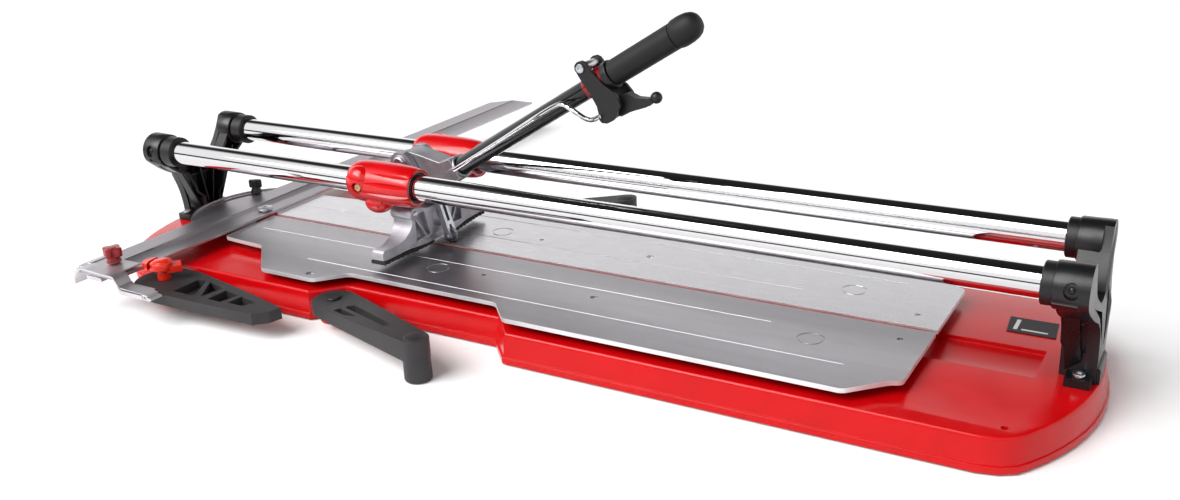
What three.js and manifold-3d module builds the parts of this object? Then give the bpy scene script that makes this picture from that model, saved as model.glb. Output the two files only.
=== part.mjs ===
// Manual tile cutter: a low painted tray with two sprung aluminium tables, two chromed rails
// on black cast stands, a sliding carriage with a long scoring handle and a breaker foot,
// an angled fence with an extending stop, and three swing-out support arms.
// Millimetres. +X runs along the rails, +Y to the rear, +Z up. The origin is on the floor,
// under the middle of the tray.
import * as THREE from 'three';
import { mergeVertices } from 'three/addons/utils/BufferGeometryUtils.js';
import Module from 'manifold-3d';

const wasm = await Module();
wasm.setup();

// ---------------------------------------------------------------- driving dimensions

// Clearances
const GAP = 0.3;            // between parts that touch or run in each other
const SLIP = 0.6;           // on the diameter of a part that turns or slides in a bore

// Tray
const TRAY_HALF_LENGTH = 605;
const TRAY_HALF_WIDTH = 160;
const TRAY_TOP = 36;        // height of its top face above the floor
const TRAY_SHEET = 3;
const TRAY_END_RADIUS = TRAY_HALF_WIDTH + 90; // plan radius of the bowed ends
const TRAY_CORNER = 30;     // length of the corner rounding along the side
const HEM_OUT = 5;          // bottom hem, outside the wall
const HEM_HEIGHT = 7;
const FOOT_PROUD = 1.5;     // how far the rubber feet lift the hem off the floor
const FOOT_RADIUS = 14;
const NOTCH_DEPTH = 32;     // recess in each long side that a folded support arm lies in
const NOTCH_LEFT = -209;    // its straight stretch
const NOTCH_RIGHT = 0;
const NOTCH_RAMP = 30;      // its sloping ends, measured along X
const CHANNEL_DEPTH = 6;    // recess that carries on the cutting line at the right
const CHANNEL_HALF_WIDTH = 31;
const CHANNEL_END = TRAY_HALF_LENGTH - 57;

// Sprung tables
const TABLE_TOP = 51;
const TABLE_THICK = 5;
const TABLE_HALF_LENGTH = TRAY_HALF_LENGTH - 157;
const TABLE_MARGIN = 3.5;   // how far the tables stay inside the tray's outline
const TABLE_SPLIT = 3.6;    // from the cutting line to a table's inner edge
const TABLE_TRAVEL = 2;     // how far a table sinks when a tile is broken
const TABLE_LEFT_HALF = TRAY_HALF_WIDTH - 68;  // half width of the narrow left end
const TABLE_RIGHT_HALF = TRAY_HALF_WIDTH - 42;
const TABLE_STEP_X = 70 - TABLE_HALF_LENGTH;   // where the narrow left end starts to widen
const TABLE_WIDE_X = 128 - TABLE_HALF_LENGTH;
const TABLE_CHAMFER_X = TABLE_HALF_LENGTH - 45;
const CHAMFER_EASE = 4;     // how much steeper than 45 degrees the right-hand chamfer runs
const RIB_HALF_WIDTH = 2.6; // breaking rib between the tables
const RIB_BELOW = 1;        // its top below the tables' face
const BUFFER_RADIUS = 12;
const BUFFER_LEFT = -280;
const BUFFER_RIGHT = 300;
const BUFFER_Y = 70;
const PLATE_LEFT = TABLE_HALF_LENGTH + 52; // name plate on the tray's right end
const PLATE_LENGTH = 51;
const PLATE_FRONT = 62;
const PLATE_WIDTH = 37;
const PLATE_THICK = 0.8;

// Rails and stands
const RAIL_DIAMETER = 30;
const RAIL_WALL = 4;
const RAIL_SPACING = 125.3;
const RAIL_HEIGHT = 146;
const RAIL_GRIPPED = 24;    // length held in each stand
const STAND_OUTER = TRAY_HALF_LENGTH - 8; // outer face of the heads, from the middle
const HEAD_LENGTH = 40;
const HEAD_DIAMETER = 45;
const SLEEVE_DIAMETER = 40;
const SLEEVE_LEFT = 28;     // bare length of the sleeves on the rails' left ends
const SLEEVE_RIGHT = 7;
const LEG_OUTER = STAND_OUTER + 1;
const LEG_STEP = LEG_OUTER - 24;  // where the leg takes its full width
const LEG_INNER = LEG_STEP - 8;   // face of the leg towards the tables
const LEG_FOOT_HALF = 24;
const WINDOW_HALF = 15;     // triangular window in the leg, at its top
const WINDOW_FOOT_HALF = 3; // and at its bottom
const TOE_HALF = 38;
const TOE_HEIGHT = 9;
const SCREW_RADIUS = 3.5;
const SCREW_HEAD_RADIUS = 5.5;

// Fence
const FENCE_RIGHT = -TABLE_HALF_LENGTH - 4; // its working edge at 90 degrees
const FENCE_WIDTH = 70;
const FENCE_THICK = 4.6;
const FENCE_FRONT = -262;
const FENCE_REAR = 655;
const FENCE_OVER_TABLE = 0.5;
const PIVOT_X = FENCE_RIGHT - 14;
const PIVOT_RADIUS = 6;
const PIVOT_BOSS_RADIUS = 15;
const DISC_RADIUS = 98;
const SLOT_RADIUS = 84;
const SLOT_WIDTH = 8;
const SWING = 45;           // degrees
const KNOB_ANGLE = 143;     // where the clamp knob stands in the slot, in degrees
const KNOB_RADIUS = 9;
const KNOB_HEIGHT = 20;
const KNOB_STUD_RADIUS = 3;

// Extending stop on the fence
const STOP_LENGTH = 46;     // along the fence
const STOP_PLATE = 3.5;
const TONGUE_WIDTH = 26;
const TONGUE_LENGTH = 170;
const TONGUE_THICK = 4.5;
const WING_REACH = 64;      // past the fence's working edge
const WING_DEPTH = 14;
const WING_DROP = 12.1;     // from the top of the fence to the top of the wing
const WING_HEIGHT = 7;
const STAR_RADIUS = 12.5;
const STAR_HEIGHT = 20;

// Support arms
const ARM_TOP = TRAY_TOP - 1;
const ARM_THICK = 14;
const ARM_PIN_RADIUS = 5;
const ARM_PIN_HEAD = 4;     // how far the head stands out all round, and its height
const BRACKET_TOP = ARM_TOP - ARM_THICK - 1;
const BRACKET_THICK = 10;
const BRACKET_HALF = 18;
const SWING_ARM_X = NOTCH_LEFT + 9;   // pivot of the front and rear arms
const SWING_ARM_Y = TRAY_HALF_WIDTH + 4;
const SWING_ARM_HUB = 26;
const SWING_ARM_LENGTH = 182;
const FRONT_ARM_ANGLE = -21; // how far each arm is swung out, degrees
const REAR_ARM_ANGLE = -31;
const POST_RADIUS = 14;
const POST_TOP = TABLE_TOP - 0.5;
const SIDE_ARM_HUB = 36;
const SIDE_ARM_X = FENCE_RIGHT + 16;
const SIDE_ARM_Y = -TRAY_HALF_WIDTH - SIDE_ARM_HUB - 9;
const SIDE_ARM_LENGTH = 196;
const SIDE_ARM_TIP = 16;    // half width of its far end
const CAP_RADIUS = 14.5;
const CAP_HEIGHT = 26;      // above the side arm

// Carriage
const CARRIAGE_X = -194;    // middle of the carriage at rest
const HOUSING_LENGTH = 104;
const HOUSING_DIAMETER = 43;
const BUSH_WALL = 3;
const COVER_THICK = 4;
const BRIDGE_BOTTOM = RAIL_HEIGHT - 20;
const BRIDGE_TOP = RAIL_HEIGHT - 6;
const BRIDGE_LENGTH = 70;
const LUG_THICK = 9;
const LUG_INSIDE = 15;      // from the middle to a lug's inner face
const HANDLE_PIVOT_X = CARRIAGE_X - 5;
const HANDLE_PIVOT_Z = RAIL_HEIGHT + 14;
const HANDLE_PIN_RADIUS = 5;

// Handle, measured along its own axis from the carriage
const HANDLE_ANGLE = 31;    // degrees above the rails
const HANDLE_ROOT_X = HANDLE_PIVOT_X + 17; // a point on the handle's axis
const HANDLE_ROOT_Z = HANDLE_PIVOT_Z - 37;
const TUBE_RADIUS = 11;
const TUBE_START = 46;
const TUBE_END = 300;
const GRIP_START = 303;
const GRIP_END = 421;
const GRIP_RADIUS = 14.5;
const GRIP_BALL = 16.5;
const CLAMP_START = 274;
const CLAMP_END = 300;
const CLAMP_RADIUS = 16;
const CLAMP_EAR = 25;       // bolt above the tube's axis
const CHEEK_OUTSIDE = 13;   // outer face of the clamp's cheeks, from the middle
const CHEEK_THICK = 5;
const TRIGGER_PIVOT = 297;
const TRIGGER_DROP = 34;
const LEVER_LENGTH = 52;
const ROD_RADIUS = 3;
const ROD_SIDE = 16.5;      // in front of the tube's axis

// Breaker foot and scoring wheel
const PAD_THICK = 4;
const PAD_OVER_FENCE = 1.6; // so that the foot runs clear over the fence
const FENCE_FACE = TABLE_TOP + FENCE_OVER_TABLE + FENCE_THICK;
const FOOT_X = CARRIAGE_X + 12;
const FOOT_HALF_WIDTH = 102;
const FOOT_LENGTH = 34;     // along X
const FOOT_BOTTOM = FENCE_FACE + PAD_OVER_FENCE + PAD_THICK + GAP;
const FOOT_TOP = BRIDGE_BOTTOM - 20;
const STEM_RADIUS = 9;
const HOLDER_X = CARRIAGE_X + 44;
const HOLDER_HALF_WIDTH = 7;
const HOLDER_THICK = 8;
const WHEEL_RADIUS = 11;
const WHEEL_OVER_TABLE = 4; // the wheel's edge at rest
const WHEEL_CENTRE_Z = TABLE_TOP + WHEEL_OVER_TABLE + WHEEL_RADIUS;
const WHEEL_SLOT = 4;       // slot in the holder that the wheel turns in
const AXLE_RADIUS = 2;

// ---------------------------------------------------------------- finishes

function finish(color, roughness, metalness) {
  return new THREE.MeshStandardMaterial({ color, roughness, metalness });
}
const RED_PAINT = () => finish(0xd0101a, 0.25, 0.0);
const RED_PLASTIC = () => finish(0xd8121c, 0.35, 0.0);
const BARE_ALUMINIUM = () => finish(0xb4b4b8, 0.4, 0.9);
const CAST_ALUMINIUM = () => finish(0x9a9a9c, 0.5, 0.8);
const CHROME = () => finish(0xe8e8ea, 0.08, 1.0);
const BLACK_CASTING = () => finish(0x1c1c1e, 0.5, 0.1);
const DARK_PLASTIC = () => finish(0x3a3a3a, 0.6, 0.0);
const RUBBER = () => finish(0x141414, 0.9, 0.0);
const ZINC = () => finish(0xc8c8c8, 0.35, 0.9);

// ---------------------------------------------------------------- solids

const parts = new THREE.Group();

function merged(geometry) {
  const bare = geometry.clone();
  bare.deleteAttribute('normal');
  bare.deleteAttribute('uv');
  return mergeVertices(bare, 1e-4);
}

function toSolid(geometry) {
  const g = merged(geometry);
  const mesh = new wasm.Mesh({
    numProp: 3,
    vertProperties: new Float32Array(g.attributes.position.array),
    triVerts: new Uint32Array(g.index.array),
  });
  return new wasm.Manifold(mesh);
}

function toGeometry(solid) {
  const mesh = solid.getMesh();
  const g = new THREE.BufferGeometry();
  g.setAttribute('position', new THREE.BufferAttribute(new Float32Array(mesh.vertProperties), 3));
  g.setIndex(new THREE.BufferAttribute(new Uint32Array(mesh.triVerts), 1));
  g.computeVertexNormals();
  return g;
}

function place(name, geometry, material) {
  const mesh = new THREE.Mesh(geometry, material);
  mesh.name = name;
  parts.add(mesh);
  return mesh;
}

function placeSolid(name, solid, material) {
  return place(name, toGeometry(solid), material);
}

// Box between two corners.
function box(x0, x1, y0, y1, z0, z1) {
  const g = new THREE.BoxGeometry(x1 - x0, y1 - y0, z1 - z0);
  g.translate((x0 + x1) / 2, (y0 + y1) / 2, (z0 + z1) / 2);
  return g;
}

// Upright cylinder from z0 to z1.
function post(x, y, z0, z1, radius, sides = 24) {
  const g = new THREE.CylinderGeometry(radius, radius, z1 - z0, sides);
  g.rotateX(Math.PI / 2);
  g.translate(x, y, (z0 + z1) / 2);
  return g;
}

// Cylinder along X from x0 to x1.
function barX(x0, x1, y, z, radius, sides = 28) {
  const g = new THREE.CylinderGeometry(radius, radius, x1 - x0, sides);
  g.rotateZ(Math.PI / 2);
  g.translate((x0 + x1) / 2, y, z);
  return g;
}

// Cylinder along Y from y0 to y1.
function barY(x, y0, y1, z, radius, sides = 20) {
  const g = new THREE.CylinderGeometry(radius, radius, y1 - y0, sides);
  g.translate(x, (y0 + y1) / 2, z);
  return g;
}

// Tube along X: a closed profile turned about the axis.
function tubeX(x0, x1, y, z, outer, inner, sides = 32) {
  const profile = [
    new THREE.Vector2(inner, x0),
    new THREE.Vector2(outer, x0),
    new THREE.Vector2(outer, x1),
    new THREE.Vector2(inner, x1),
    new THREE.Vector2(inner, x0),
  ];
  const g = new THREE.LatheGeometry(profile, sides);
  g.rotateZ(-Math.PI / 2);
  g.translate(0, y, z);
  return g;
}

// Outline in plan, raised from z0 to z1.
function slab(shape, z0, z1, curveSegments = 10) {
  const g = new THREE.ExtrudeGeometry(shape, { depth: z1 - z0, bevelEnabled: false, curveSegments });
  g.translate(0, 0, z0);
  return g;
}

// Outline drawn in (Y, Z), stretched along X from x0 to x1.
function slabX(shape, x0, x1, curveSegments = 6) {
  const g = new THREE.ExtrudeGeometry(shape, { depth: x1 - x0, bevelEnabled: false, curveSegments });
  g.rotateX(Math.PI / 2);
  g.rotateZ(Math.PI / 2);
  g.translate(x0, 0, 0);
  return g;
}

// Outline drawn in (X, Z), stretched along Y from y0 to y1.
function slabY(shape, y0, y1, curveSegments = 12) {
  const g = new THREE.ExtrudeGeometry(shape, { depth: y1 - y0, bevelEnabled: false, curveSegments });
  g.rotateX(Math.PI / 2);
  g.translate(0, y1, 0);
  return g;
}

function polygon(points) {
  return new THREE.Shape(points.map(([x, y]) => new THREE.Vector2(x, y)));
}

function joined(geometries) {
  return geometries.map(toSolid).reduce((sum, solid) => sum.add(solid));
}

function cutBy(solid, geometries) {
  return geometries.map(toSolid).reduce((rest, tool) => rest.subtract(tool), solid);
}

// ---------------------------------------------------------------- tray

const RAIL_Y = RAIL_SPACING / 2;
const TABLE_BOTTOM = TABLE_TOP - TABLE_THICK;
const NOTCH_HALF_WIDTH = TRAY_HALF_WIDTH - NOTCH_DEPTH;

// The tray seen from above, moved outwards by `out` all round.
function trayShape(out) {
  const width = TRAY_HALF_WIDTH + out;
  const notch = NOTCH_HALF_WIDTH + out;
  const radius = TRAY_END_RADIUS + out;
  const centre = TRAY_HALF_LENGTH - TRAY_END_RADIUS;
  const cornerX = centre + Math.sqrt(radius ** 2 - width ** 2);
  const turn = Math.asin((width - TRAY_CORNER * 0.8) / radius);
  const arcX = centre + radius * Math.cos(turn);
  const arcY = radius * Math.sin(turn);
  const shape = new THREE.Shape();
  shape.moveTo(-cornerX + TRAY_CORNER, -width);
  shape.lineTo(NOTCH_LEFT - NOTCH_RAMP - out / 2, -width);
  shape.lineTo(NOTCH_LEFT - out / 2, -notch);
  shape.lineTo(NOTCH_RIGHT + out / 2, -notch);
  shape.lineTo(NOTCH_RIGHT + NOTCH_RAMP + out / 2, -width);
  shape.lineTo(cornerX - TRAY_CORNER, -width);
  shape.quadraticCurveTo(cornerX, -width, arcX, -arcY);
  shape.absarc(centre, 0, radius, -turn, turn, false);
  shape.quadraticCurveTo(cornerX, width, cornerX - TRAY_CORNER, width);
  shape.lineTo(NOTCH_RIGHT + NOTCH_RAMP + out / 2, width);
  shape.lineTo(NOTCH_RIGHT + out / 2, notch);
  shape.lineTo(NOTCH_LEFT - out / 2, notch);
  shape.lineTo(NOTCH_LEFT - NOTCH_RAMP - out / 2, width);
  shape.lineTo(-cornerX + TRAY_CORNER, width);
  shape.quadraticCurveTo(-cornerX, width, -arcX, arcY);
  shape.absarc(-centre, 0, radius, Math.PI - turn, Math.PI + turn, false);
  shape.quadraticCurveTo(-cornerX, -width, -cornerX + TRAY_CORNER, -width);
  return shape;
}

const ARM_PINS = [
  { name: 'front_arm_pin', x: SWING_ARM_X, y: -SWING_ARM_Y, wall: -NOTCH_HALF_WIDTH },
  { name: 'rear_arm_pin', x: SWING_ARM_X, y: SWING_ARM_Y, wall: NOTCH_HALF_WIDTH },
  { name: 'side_arm_pin', x: SIDE_ARM_X, y: SIDE_ARM_Y, wall: -TRAY_HALF_WIDTH },
];

// Bracket welded to the tray wall under an arm's hub.
function armBracket({ x, y, wall }) {
  const half = BRACKET_HALF;
  const bottom = BRACKET_TOP - BRACKET_THICK;
  const inner = wall - Math.sign(y) * TRAY_SHEET / 2;
  return [
    box(x - half, x + half, Math.min(inner, y), Math.max(inner, y), bottom, BRACKET_TOP),
    post(x, y, bottom, BRACKET_TOP, half),
  ];
}

function tray() {
  const under = TRAY_TOP - TRAY_SHEET;
  const pan = box(TABLE_HALF_LENGTH - 10, CHANNEL_END + TRAY_SHEET,
    -CHANNEL_HALF_WIDTH - TRAY_SHEET, CHANNEL_HALF_WIDTH + TRAY_SHEET,
    TRAY_TOP - CHANNEL_DEPTH - TRAY_SHEET, TRAY_TOP - 1);
  const shell = cutBy(joined([slab(trayShape(0), FOOT_PROUD, TRAY_TOP)]),
    [slab(trayShape(-TRAY_SHEET), FOOT_PROUD - 1, under)]);
  const hem = cutBy(joined([slab(trayShape(HEM_OUT), FOOT_PROUD, FOOT_PROUD + HEM_HEIGHT)]),
    [slab(trayShape(-TRAY_SHEET), FOOT_PROUD - 1, FOOT_PROUD + HEM_HEIGHT + 1)]);
  const brackets = joined(ARM_PINS.flatMap(armBracket));
  const boss = joined([
    post(PIVOT_X, 0, under, TABLE_TOP + FENCE_OVER_TABLE - GAP, PIVOT_BOSS_RADIUS),
    pan,
  ]);
  const whole = shell.add(hem).add(brackets).add(boss);
  const bores = [
    box(TABLE_HALF_LENGTH - 7, CHANNEL_END, -CHANNEL_HALF_WIDTH, CHANNEL_HALF_WIDTH,
      TRAY_TOP - CHANNEL_DEPTH, TRAY_TOP + 1),
    post(PIVOT_X, 0, 0, TABLE_TOP + 10, PIVOT_RADIUS + GAP),
  ];
  for (const { x, y } of ARM_PINS) {
    bores.push(post(x, y, 0, BRACKET_TOP + 1, ARM_PIN_RADIUS + GAP));
  }
  for (const side of [-1, 1]) {
    for (const y of [-TOE_SCREW_Y, TOE_SCREW_Y]) {
      bores.push(post(side * TOE_SCREW_X, y, 0, TRAY_TOP + 1, SCREW_RADIUS + GAP));
    }
  }
  placeSolid('base_tray', cutBy(whole, bores), RED_PAINT());
}

function baseFeet() {
  const top = TRAY_TOP - TRAY_SHEET - GAP;
  let n = 1;
  for (const x of [-TRAY_HALF_LENGTH + 75, TRAY_HALF_LENGTH - 75]) {
    for (const y of [-TRAY_HALF_WIDTH + 30, TRAY_HALF_WIDTH - 30]) {
      place(`base_foot_${n}`, post(x, y, 0, top, FOOT_RADIUS), RUBBER());
      n += 1;
    }
  }
  place('middle_foot', post(0, 0, 0, top, FOOT_RADIUS), RUBBER());
}

// ---------------------------------------------------------------- tables

// One table seen from above; side is -1 for the front one and 1 for the rear one.
function tableShape(side) {
  const wide = TRAY_HALF_WIDTH - TABLE_MARGIN;
  const notch = NOTCH_HALF_WIDTH - TABLE_MARGIN;
  const chamfer = wide - TABLE_RIGHT_HALF - CHAMFER_EASE;
  const points = [
    [-TABLE_HALF_LENGTH, TABLE_SPLIT],
    [-TABLE_HALF_LENGTH, TABLE_LEFT_HALF],
    [TABLE_STEP_X, TABLE_LEFT_HALF + 5],
    [TABLE_WIDE_X, wide],
    [NOTCH_LEFT - NOTCH_RAMP, wide],
    [NOTCH_LEFT, notch],
    [NOTCH_RIGHT, notch],
    [NOTCH_RIGHT + NOTCH_RAMP, wide],
    [TABLE_CHAMFER_X, wide],
    [TABLE_CHAMFER_X + chamfer, wide - chamfer],
    [TABLE_HALF_LENGTH, TABLE_RIGHT_HALF],
    [TABLE_HALF_LENGTH, TABLE_SPLIT],
  ];
  return polygon(points.map(([x, y]) => [x, side * y]));
}

function tables() {
  for (const [name, side] of [['front_table', -1], ['rear_table', 1]]) {
    place(name, slab(tableShape(side), TABLE_BOTTOM, TABLE_TOP), BARE_ALUMINIUM());
  }
  place('breaking_rib', box(-TABLE_HALF_LENGTH, TABLE_HALF_LENGTH - 10 - GAP,
    -RIB_HALF_WIDTH, RIB_HALF_WIDTH, TRAY_TOP + GAP, TABLE_TOP - RIB_BELOW), RED_PAINT());
  let n = 1;
  for (const x of [BUFFER_LEFT, BUFFER_RIGHT]) {
    for (const y of [-BUFFER_Y, BUFFER_Y]) {
      place(`table_buffer_${n}`, post(x, y, TRAY_TOP + GAP, TABLE_BOTTOM - TABLE_TRAVEL - GAP,
        BUFFER_RADIUS), RUBBER());
      n += 1;
    }
  }
  place('name_plate', box(PLATE_LEFT, PLATE_LEFT + PLATE_LENGTH, PLATE_FRONT,
    PLATE_FRONT + PLATE_WIDTH, TRAY_TOP + GAP, TRAY_TOP + GAP + PLATE_THICK), BLACK_CASTING());
}

// ---------------------------------------------------------------- stands and rails

const TOE_SCREW_X = (LEG_STEP + LEG_OUTER) / 2;
const TOE_SCREW_Y = TOE_HALF - 7;
const HEAD_RADIUS = HEAD_DIAMETER / 2;
const HEAD_INNER = STAND_OUTER - HEAD_LENGTH;
const FORK_Z = RAIL_HEIGHT - 34;  // bottom of the gap between a stand's two arms
const WAIST_Z = RAIL_HEIGHT - 66; // where the foot starts to spread

// Front view of a stand's legs: two arms that run together into one narrow foot.
function legShape(inset) {
  const foot = LEG_FOOT_HALF - inset;
  const bottom = TRAY_TOP + GAP;
  const under = FORK_Z - 8;
  const shoulder = FORK_Z + 6;
  const shape = new THREE.Shape();
  shape.moveTo(-foot, bottom);
  shape.lineTo(foot, bottom);
  shape.quadraticCurveTo(foot + 2, WAIST_Z, RAIL_Y - 24 - inset, under);
  shape.quadraticCurveTo(RAIL_Y + 2, shoulder, RAIL_Y + HEAD_RADIUS - 4, RAIL_HEIGHT - 10);
  shape.lineTo(RAIL_Y - HEAD_RADIUS + 5, RAIL_HEIGHT - 9);
  shape.quadraticCurveTo(24, FORK_Z + 2, 0, FORK_Z);
  shape.quadraticCurveTo(-24, FORK_Z + 2, -RAIL_Y + HEAD_RADIUS - 5, RAIL_HEIGHT - 9);
  shape.lineTo(-RAIL_Y - HEAD_RADIUS + 4, RAIL_HEIGHT - 10);
  shape.quadraticCurveTo(-RAIL_Y - 2, shoulder, -RAIL_Y + 24 + inset, under);
  shape.quadraticCurveTo(-foot - 2, WAIST_Z, -foot, bottom);
  return shape;
}

function stand(name, side) {
  const windowTop = FORK_Z - 14;
  const windowFoot = TRAY_TOP + 26;
  const window = polygon([[-WINDOW_HALF, windowTop], [WINDOW_HALF, windowTop],
    [WINDOW_FOOT_HALF, windowFoot], [-WINDOW_FOOT_HALF, windowFoot]]);
  const pieces = [
    slabX(legShape(0), LEG_STEP, LEG_OUTER),
    slabX(legShape(8), LEG_INNER, LEG_STEP + 1),
    box(LEG_STEP - 1, LEG_OUTER - 1, -TOE_HALF, TOE_HALF, TRAY_TOP + GAP, TRAY_TOP + TOE_HEIGHT),
  ];
  const holes = [slabX(window, LEG_INNER - 2, LEG_OUTER + 2)];
  for (const y of [-RAIL_Y, RAIL_Y]) {
    pieces.push(barX(HEAD_INNER, STAND_OUTER, y, RAIL_HEIGHT, HEAD_RADIUS));
    holes.push(barX(HEAD_INNER - 1, HEAD_INNER + RAIL_GRIPPED + GAP, y, RAIL_HEIGHT,
      RAIL_DIAMETER / 2 + GAP));
  }
  for (const y of [-TOE_SCREW_Y, TOE_SCREW_Y]) {
    holes.push(post(TOE_SCREW_X, y, 0, RAIL_HEIGHT / 2, SCREW_RADIUS + GAP));
  }
  const solid = cutBy(joined(pieces), holes);
  placeSolid(name, side > 0 ? solid : solid.rotate([0, 0, 180]), BLACK_CASTING());
}

function toeScrews() {
  let n = 1;
  for (const x of [-TOE_SCREW_X, TOE_SCREW_X]) {
    for (const y of [-TOE_SCREW_Y, TOE_SCREW_Y]) {
      const top = TRAY_TOP + TOE_HEIGHT + GAP;
      const screw = joined([
        post(x, y, TRAY_TOP - 8, top + 1, SCREW_RADIUS, 16),
        post(x, y, top, top + 4, SCREW_HEAD_RADIUS, 24),
      ]);
      placeSolid(`stand_screw_${n}`, screw, ZINC());
      n += 1;
    }
  }
}

function rails() {
  for (const [name, y] of [['front', -RAIL_Y], ['rear', RAIL_Y]]) {
    const radius = RAIL_DIAMETER / 2;
    place(`${name}_rail`, tubeX(-HEAD_INNER - RAIL_GRIPPED, HEAD_INNER + RAIL_GRIPPED, y, RAIL_HEIGHT,
      radius, radius - RAIL_WALL), CHROME());
    place(`${name}_left_sleeve`, tubeX(-HEAD_INNER + GAP, -HEAD_INNER + SLEEVE_LEFT, y,
      RAIL_HEIGHT, SLEEVE_DIAMETER / 2, radius + GAP), RUBBER());
    place(`${name}_right_sleeve`, tubeX(HEAD_INNER - SLEEVE_RIGHT, HEAD_INNER - GAP, y,
      RAIL_HEIGHT, SLEEVE_DIAMETER / 2, radius + GAP), RUBBER());
  }
}

// ---------------------------------------------------------------- fence

const FENCE_BOTTOM = TABLE_TOP + FENCE_OVER_TABLE;
const FENCE_TOP = FENCE_FACE;
const FENCE_LEFT = FENCE_RIGHT - FENCE_WIDTH;
const KNOB_X = PIVOT_X + SLOT_RADIUS * Math.cos(KNOB_ANGLE * Math.PI / 180);
const KNOB_Y = SLOT_RADIUS * Math.sin(KNOB_ANGLE * Math.PI / 180);

function pivotBore() {
  return post(PIVOT_X, 0, TRAY_TOP, FENCE_TOP + 10, PIVOT_RADIUS + GAP);
}

// Half disc fixed to the bar, with a curved slot for the clamp knob's stud.
function protractor() {
  const edge = FENCE_LEFT - GAP;
  const reach = Math.acos((PIVOT_X - edge) / DISC_RADIUS);
  const disc = new THREE.Shape();
  disc.absarc(PIVOT_X, 0, DISC_RADIUS, Math.PI - reach, Math.PI + reach, false);
  const start = (KNOB_ANGLE - 3) * Math.PI / 180;
  const end = (KNOB_ANGLE + SWING + 3) * Math.PI / 180;
  const slot = new THREE.Shape();
  slot.absarc(PIVOT_X, 0, SLOT_RADIUS + SLOT_WIDTH / 2, start, end, false);
  slot.absarc(PIVOT_X, 0, SLOT_RADIUS - SLOT_WIDTH / 2, end, start, true);
  const solid = cutBy(joined([slab(disc, FENCE_BOTTOM, FENCE_TOP)]),
    [slab(slot, FENCE_BOTTOM - 1, FENCE_TOP + 1)]);
  placeSolid('protractor', solid, BARE_ALUMINIUM());
}

function fence() {
  const bar = joined([
    box(FENCE_LEFT, FENCE_RIGHT, FENCE_FRONT, FENCE_REAR, FENCE_BOTTOM, FENCE_TOP),
  ]);
  placeSolid('fence_bar', cutBy(bar, [pivotBore()]), BARE_ALUMINIUM());
  protractor();
  const pin = joined([
    post(PIVOT_X, 0, TRAY_TOP - 8, FENCE_TOP + 1.5, PIVOT_RADIUS),
    post(PIVOT_X, 0, FENCE_TOP + GAP, FENCE_TOP + 3.5, PIVOT_RADIUS + 4),
  ]);
  placeSolid('fence_pivot_pin', pin, ZINC());
  const knob = joined([
    post(KNOB_X, KNOB_Y, TRAY_TOP + GAP, FENCE_TOP + 3, KNOB_STUD_RADIUS, 16),
    post(KNOB_X, KNOB_Y, FENCE_TOP + GAP, FENCE_TOP + KNOB_HEIGHT, KNOB_RADIUS),
  ]);
  placeSolid('angle_knob', knob, DARK_PLASTIC());
}

// Five-lobed hand knob seen from above.
function starShape(x, y, radius, lobes = 5) {
  const points = [];
  const steps = lobes * 8;
  for (let i = 0; i < steps; i += 1) {
    const a = i / steps * 2 * Math.PI;
    const r = radius * (0.86 + 0.14 * Math.cos(lobes * a));
    points.push([x + r * Math.cos(a), y + r * Math.sin(a)]);
  }
  return polygon(points);
}

function stop() {
  const middle = (FENCE_LEFT + FENCE_RIGHT) / 2;
  const front = FENCE_FRONT - 4;
  const back = front + STOP_LENGTH;
  const knobY = back - STAR_RADIUS - 1;
  const top = FENCE_TOP + GAP + STOP_PLATE;
  const right = FENCE_RIGHT + GAP;
  const left = FENCE_LEFT - GAP;
  const nose = FENCE_FRONT - GAP;
  const wingTop = FENCE_TOP - WING_DROP;
  const wingBottom = wingTop - WING_HEIGHT;
  const tip = FENCE_RIGHT + WING_REACH;
  const wing = polygon([
    [right, top], [right + 3, top], [right + 12, wingTop], [tip, wingTop],
    [tip, wingBottom], [right + 5, wingBottom], [right, wingBottom + 8],
  ]);
  const half = TONGUE_WIDTH / 2;
  const pieces = [
    box(left - 3, right + 1, front, back, FENCE_TOP + GAP, top),
    box(left - 3, left, front, back, wingBottom, top),
    box(left - 3, right + 1, front, nose, wingBottom + 8, top),
    box(middle - half, middle + half, front, front + TONGUE_LENGTH,
      FENCE_BOTTOM - GAP - TONGUE_THICK, FENCE_BOTTOM - GAP),
    slabY(wing, front, front + WING_DEPTH),
  ];
  const wall = 1.5;
  const groove = box(right + 16, tip - 8, front - 1, front + WING_DEPTH + 1,
    wingBottom + wall, wingTop - wall);
  const bore = post(middle, knobY, FENCE_TOP, top + 1, KNOB_STUD_RADIUS + GAP, 20);
  placeSolid('extending_stop', cutBy(joined(pieces), [groove, bore]), BARE_ALUMINIUM());
  place('stop_rubber', box(right + 16 + GAP, tip - 8 - GAP, front, front + WING_DEPTH,
    wingBottom + wall + GAP, wingTop - wall - GAP), RUBBER());
  const star = joined([
    slab(starShape(middle, knobY, STAR_RADIUS), top + GAP, top + STAR_HEIGHT),
    post(middle, knobY, FENCE_TOP + 2 * GAP, top + 2, KNOB_STUD_RADIUS, 16),
  ]);
  placeSolid('stop_knob', star, RED_PLASTIC());
}

// ---------------------------------------------------------------- support arms

// Plan of a swing-out arm, drawn along +X from its hub at the origin.
function swingArmShape() {
  const shape = new THREE.Shape();
  const tip = POST_RADIUS + 1;
  shape.absarc(0, 0, SWING_ARM_HUB, Math.PI / 2, Math.PI * 1.5, false);
  shape.lineTo(30, -SWING_ARM_HUB);
  shape.lineTo(SWING_ARM_LENGTH, -tip);
  shape.absarc(SWING_ARM_LENGTH, 0, tip, -Math.PI / 2, Math.PI / 2, false);
  shape.lineTo(30, SWING_ARM_HUB);
  return shape;
}

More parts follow.
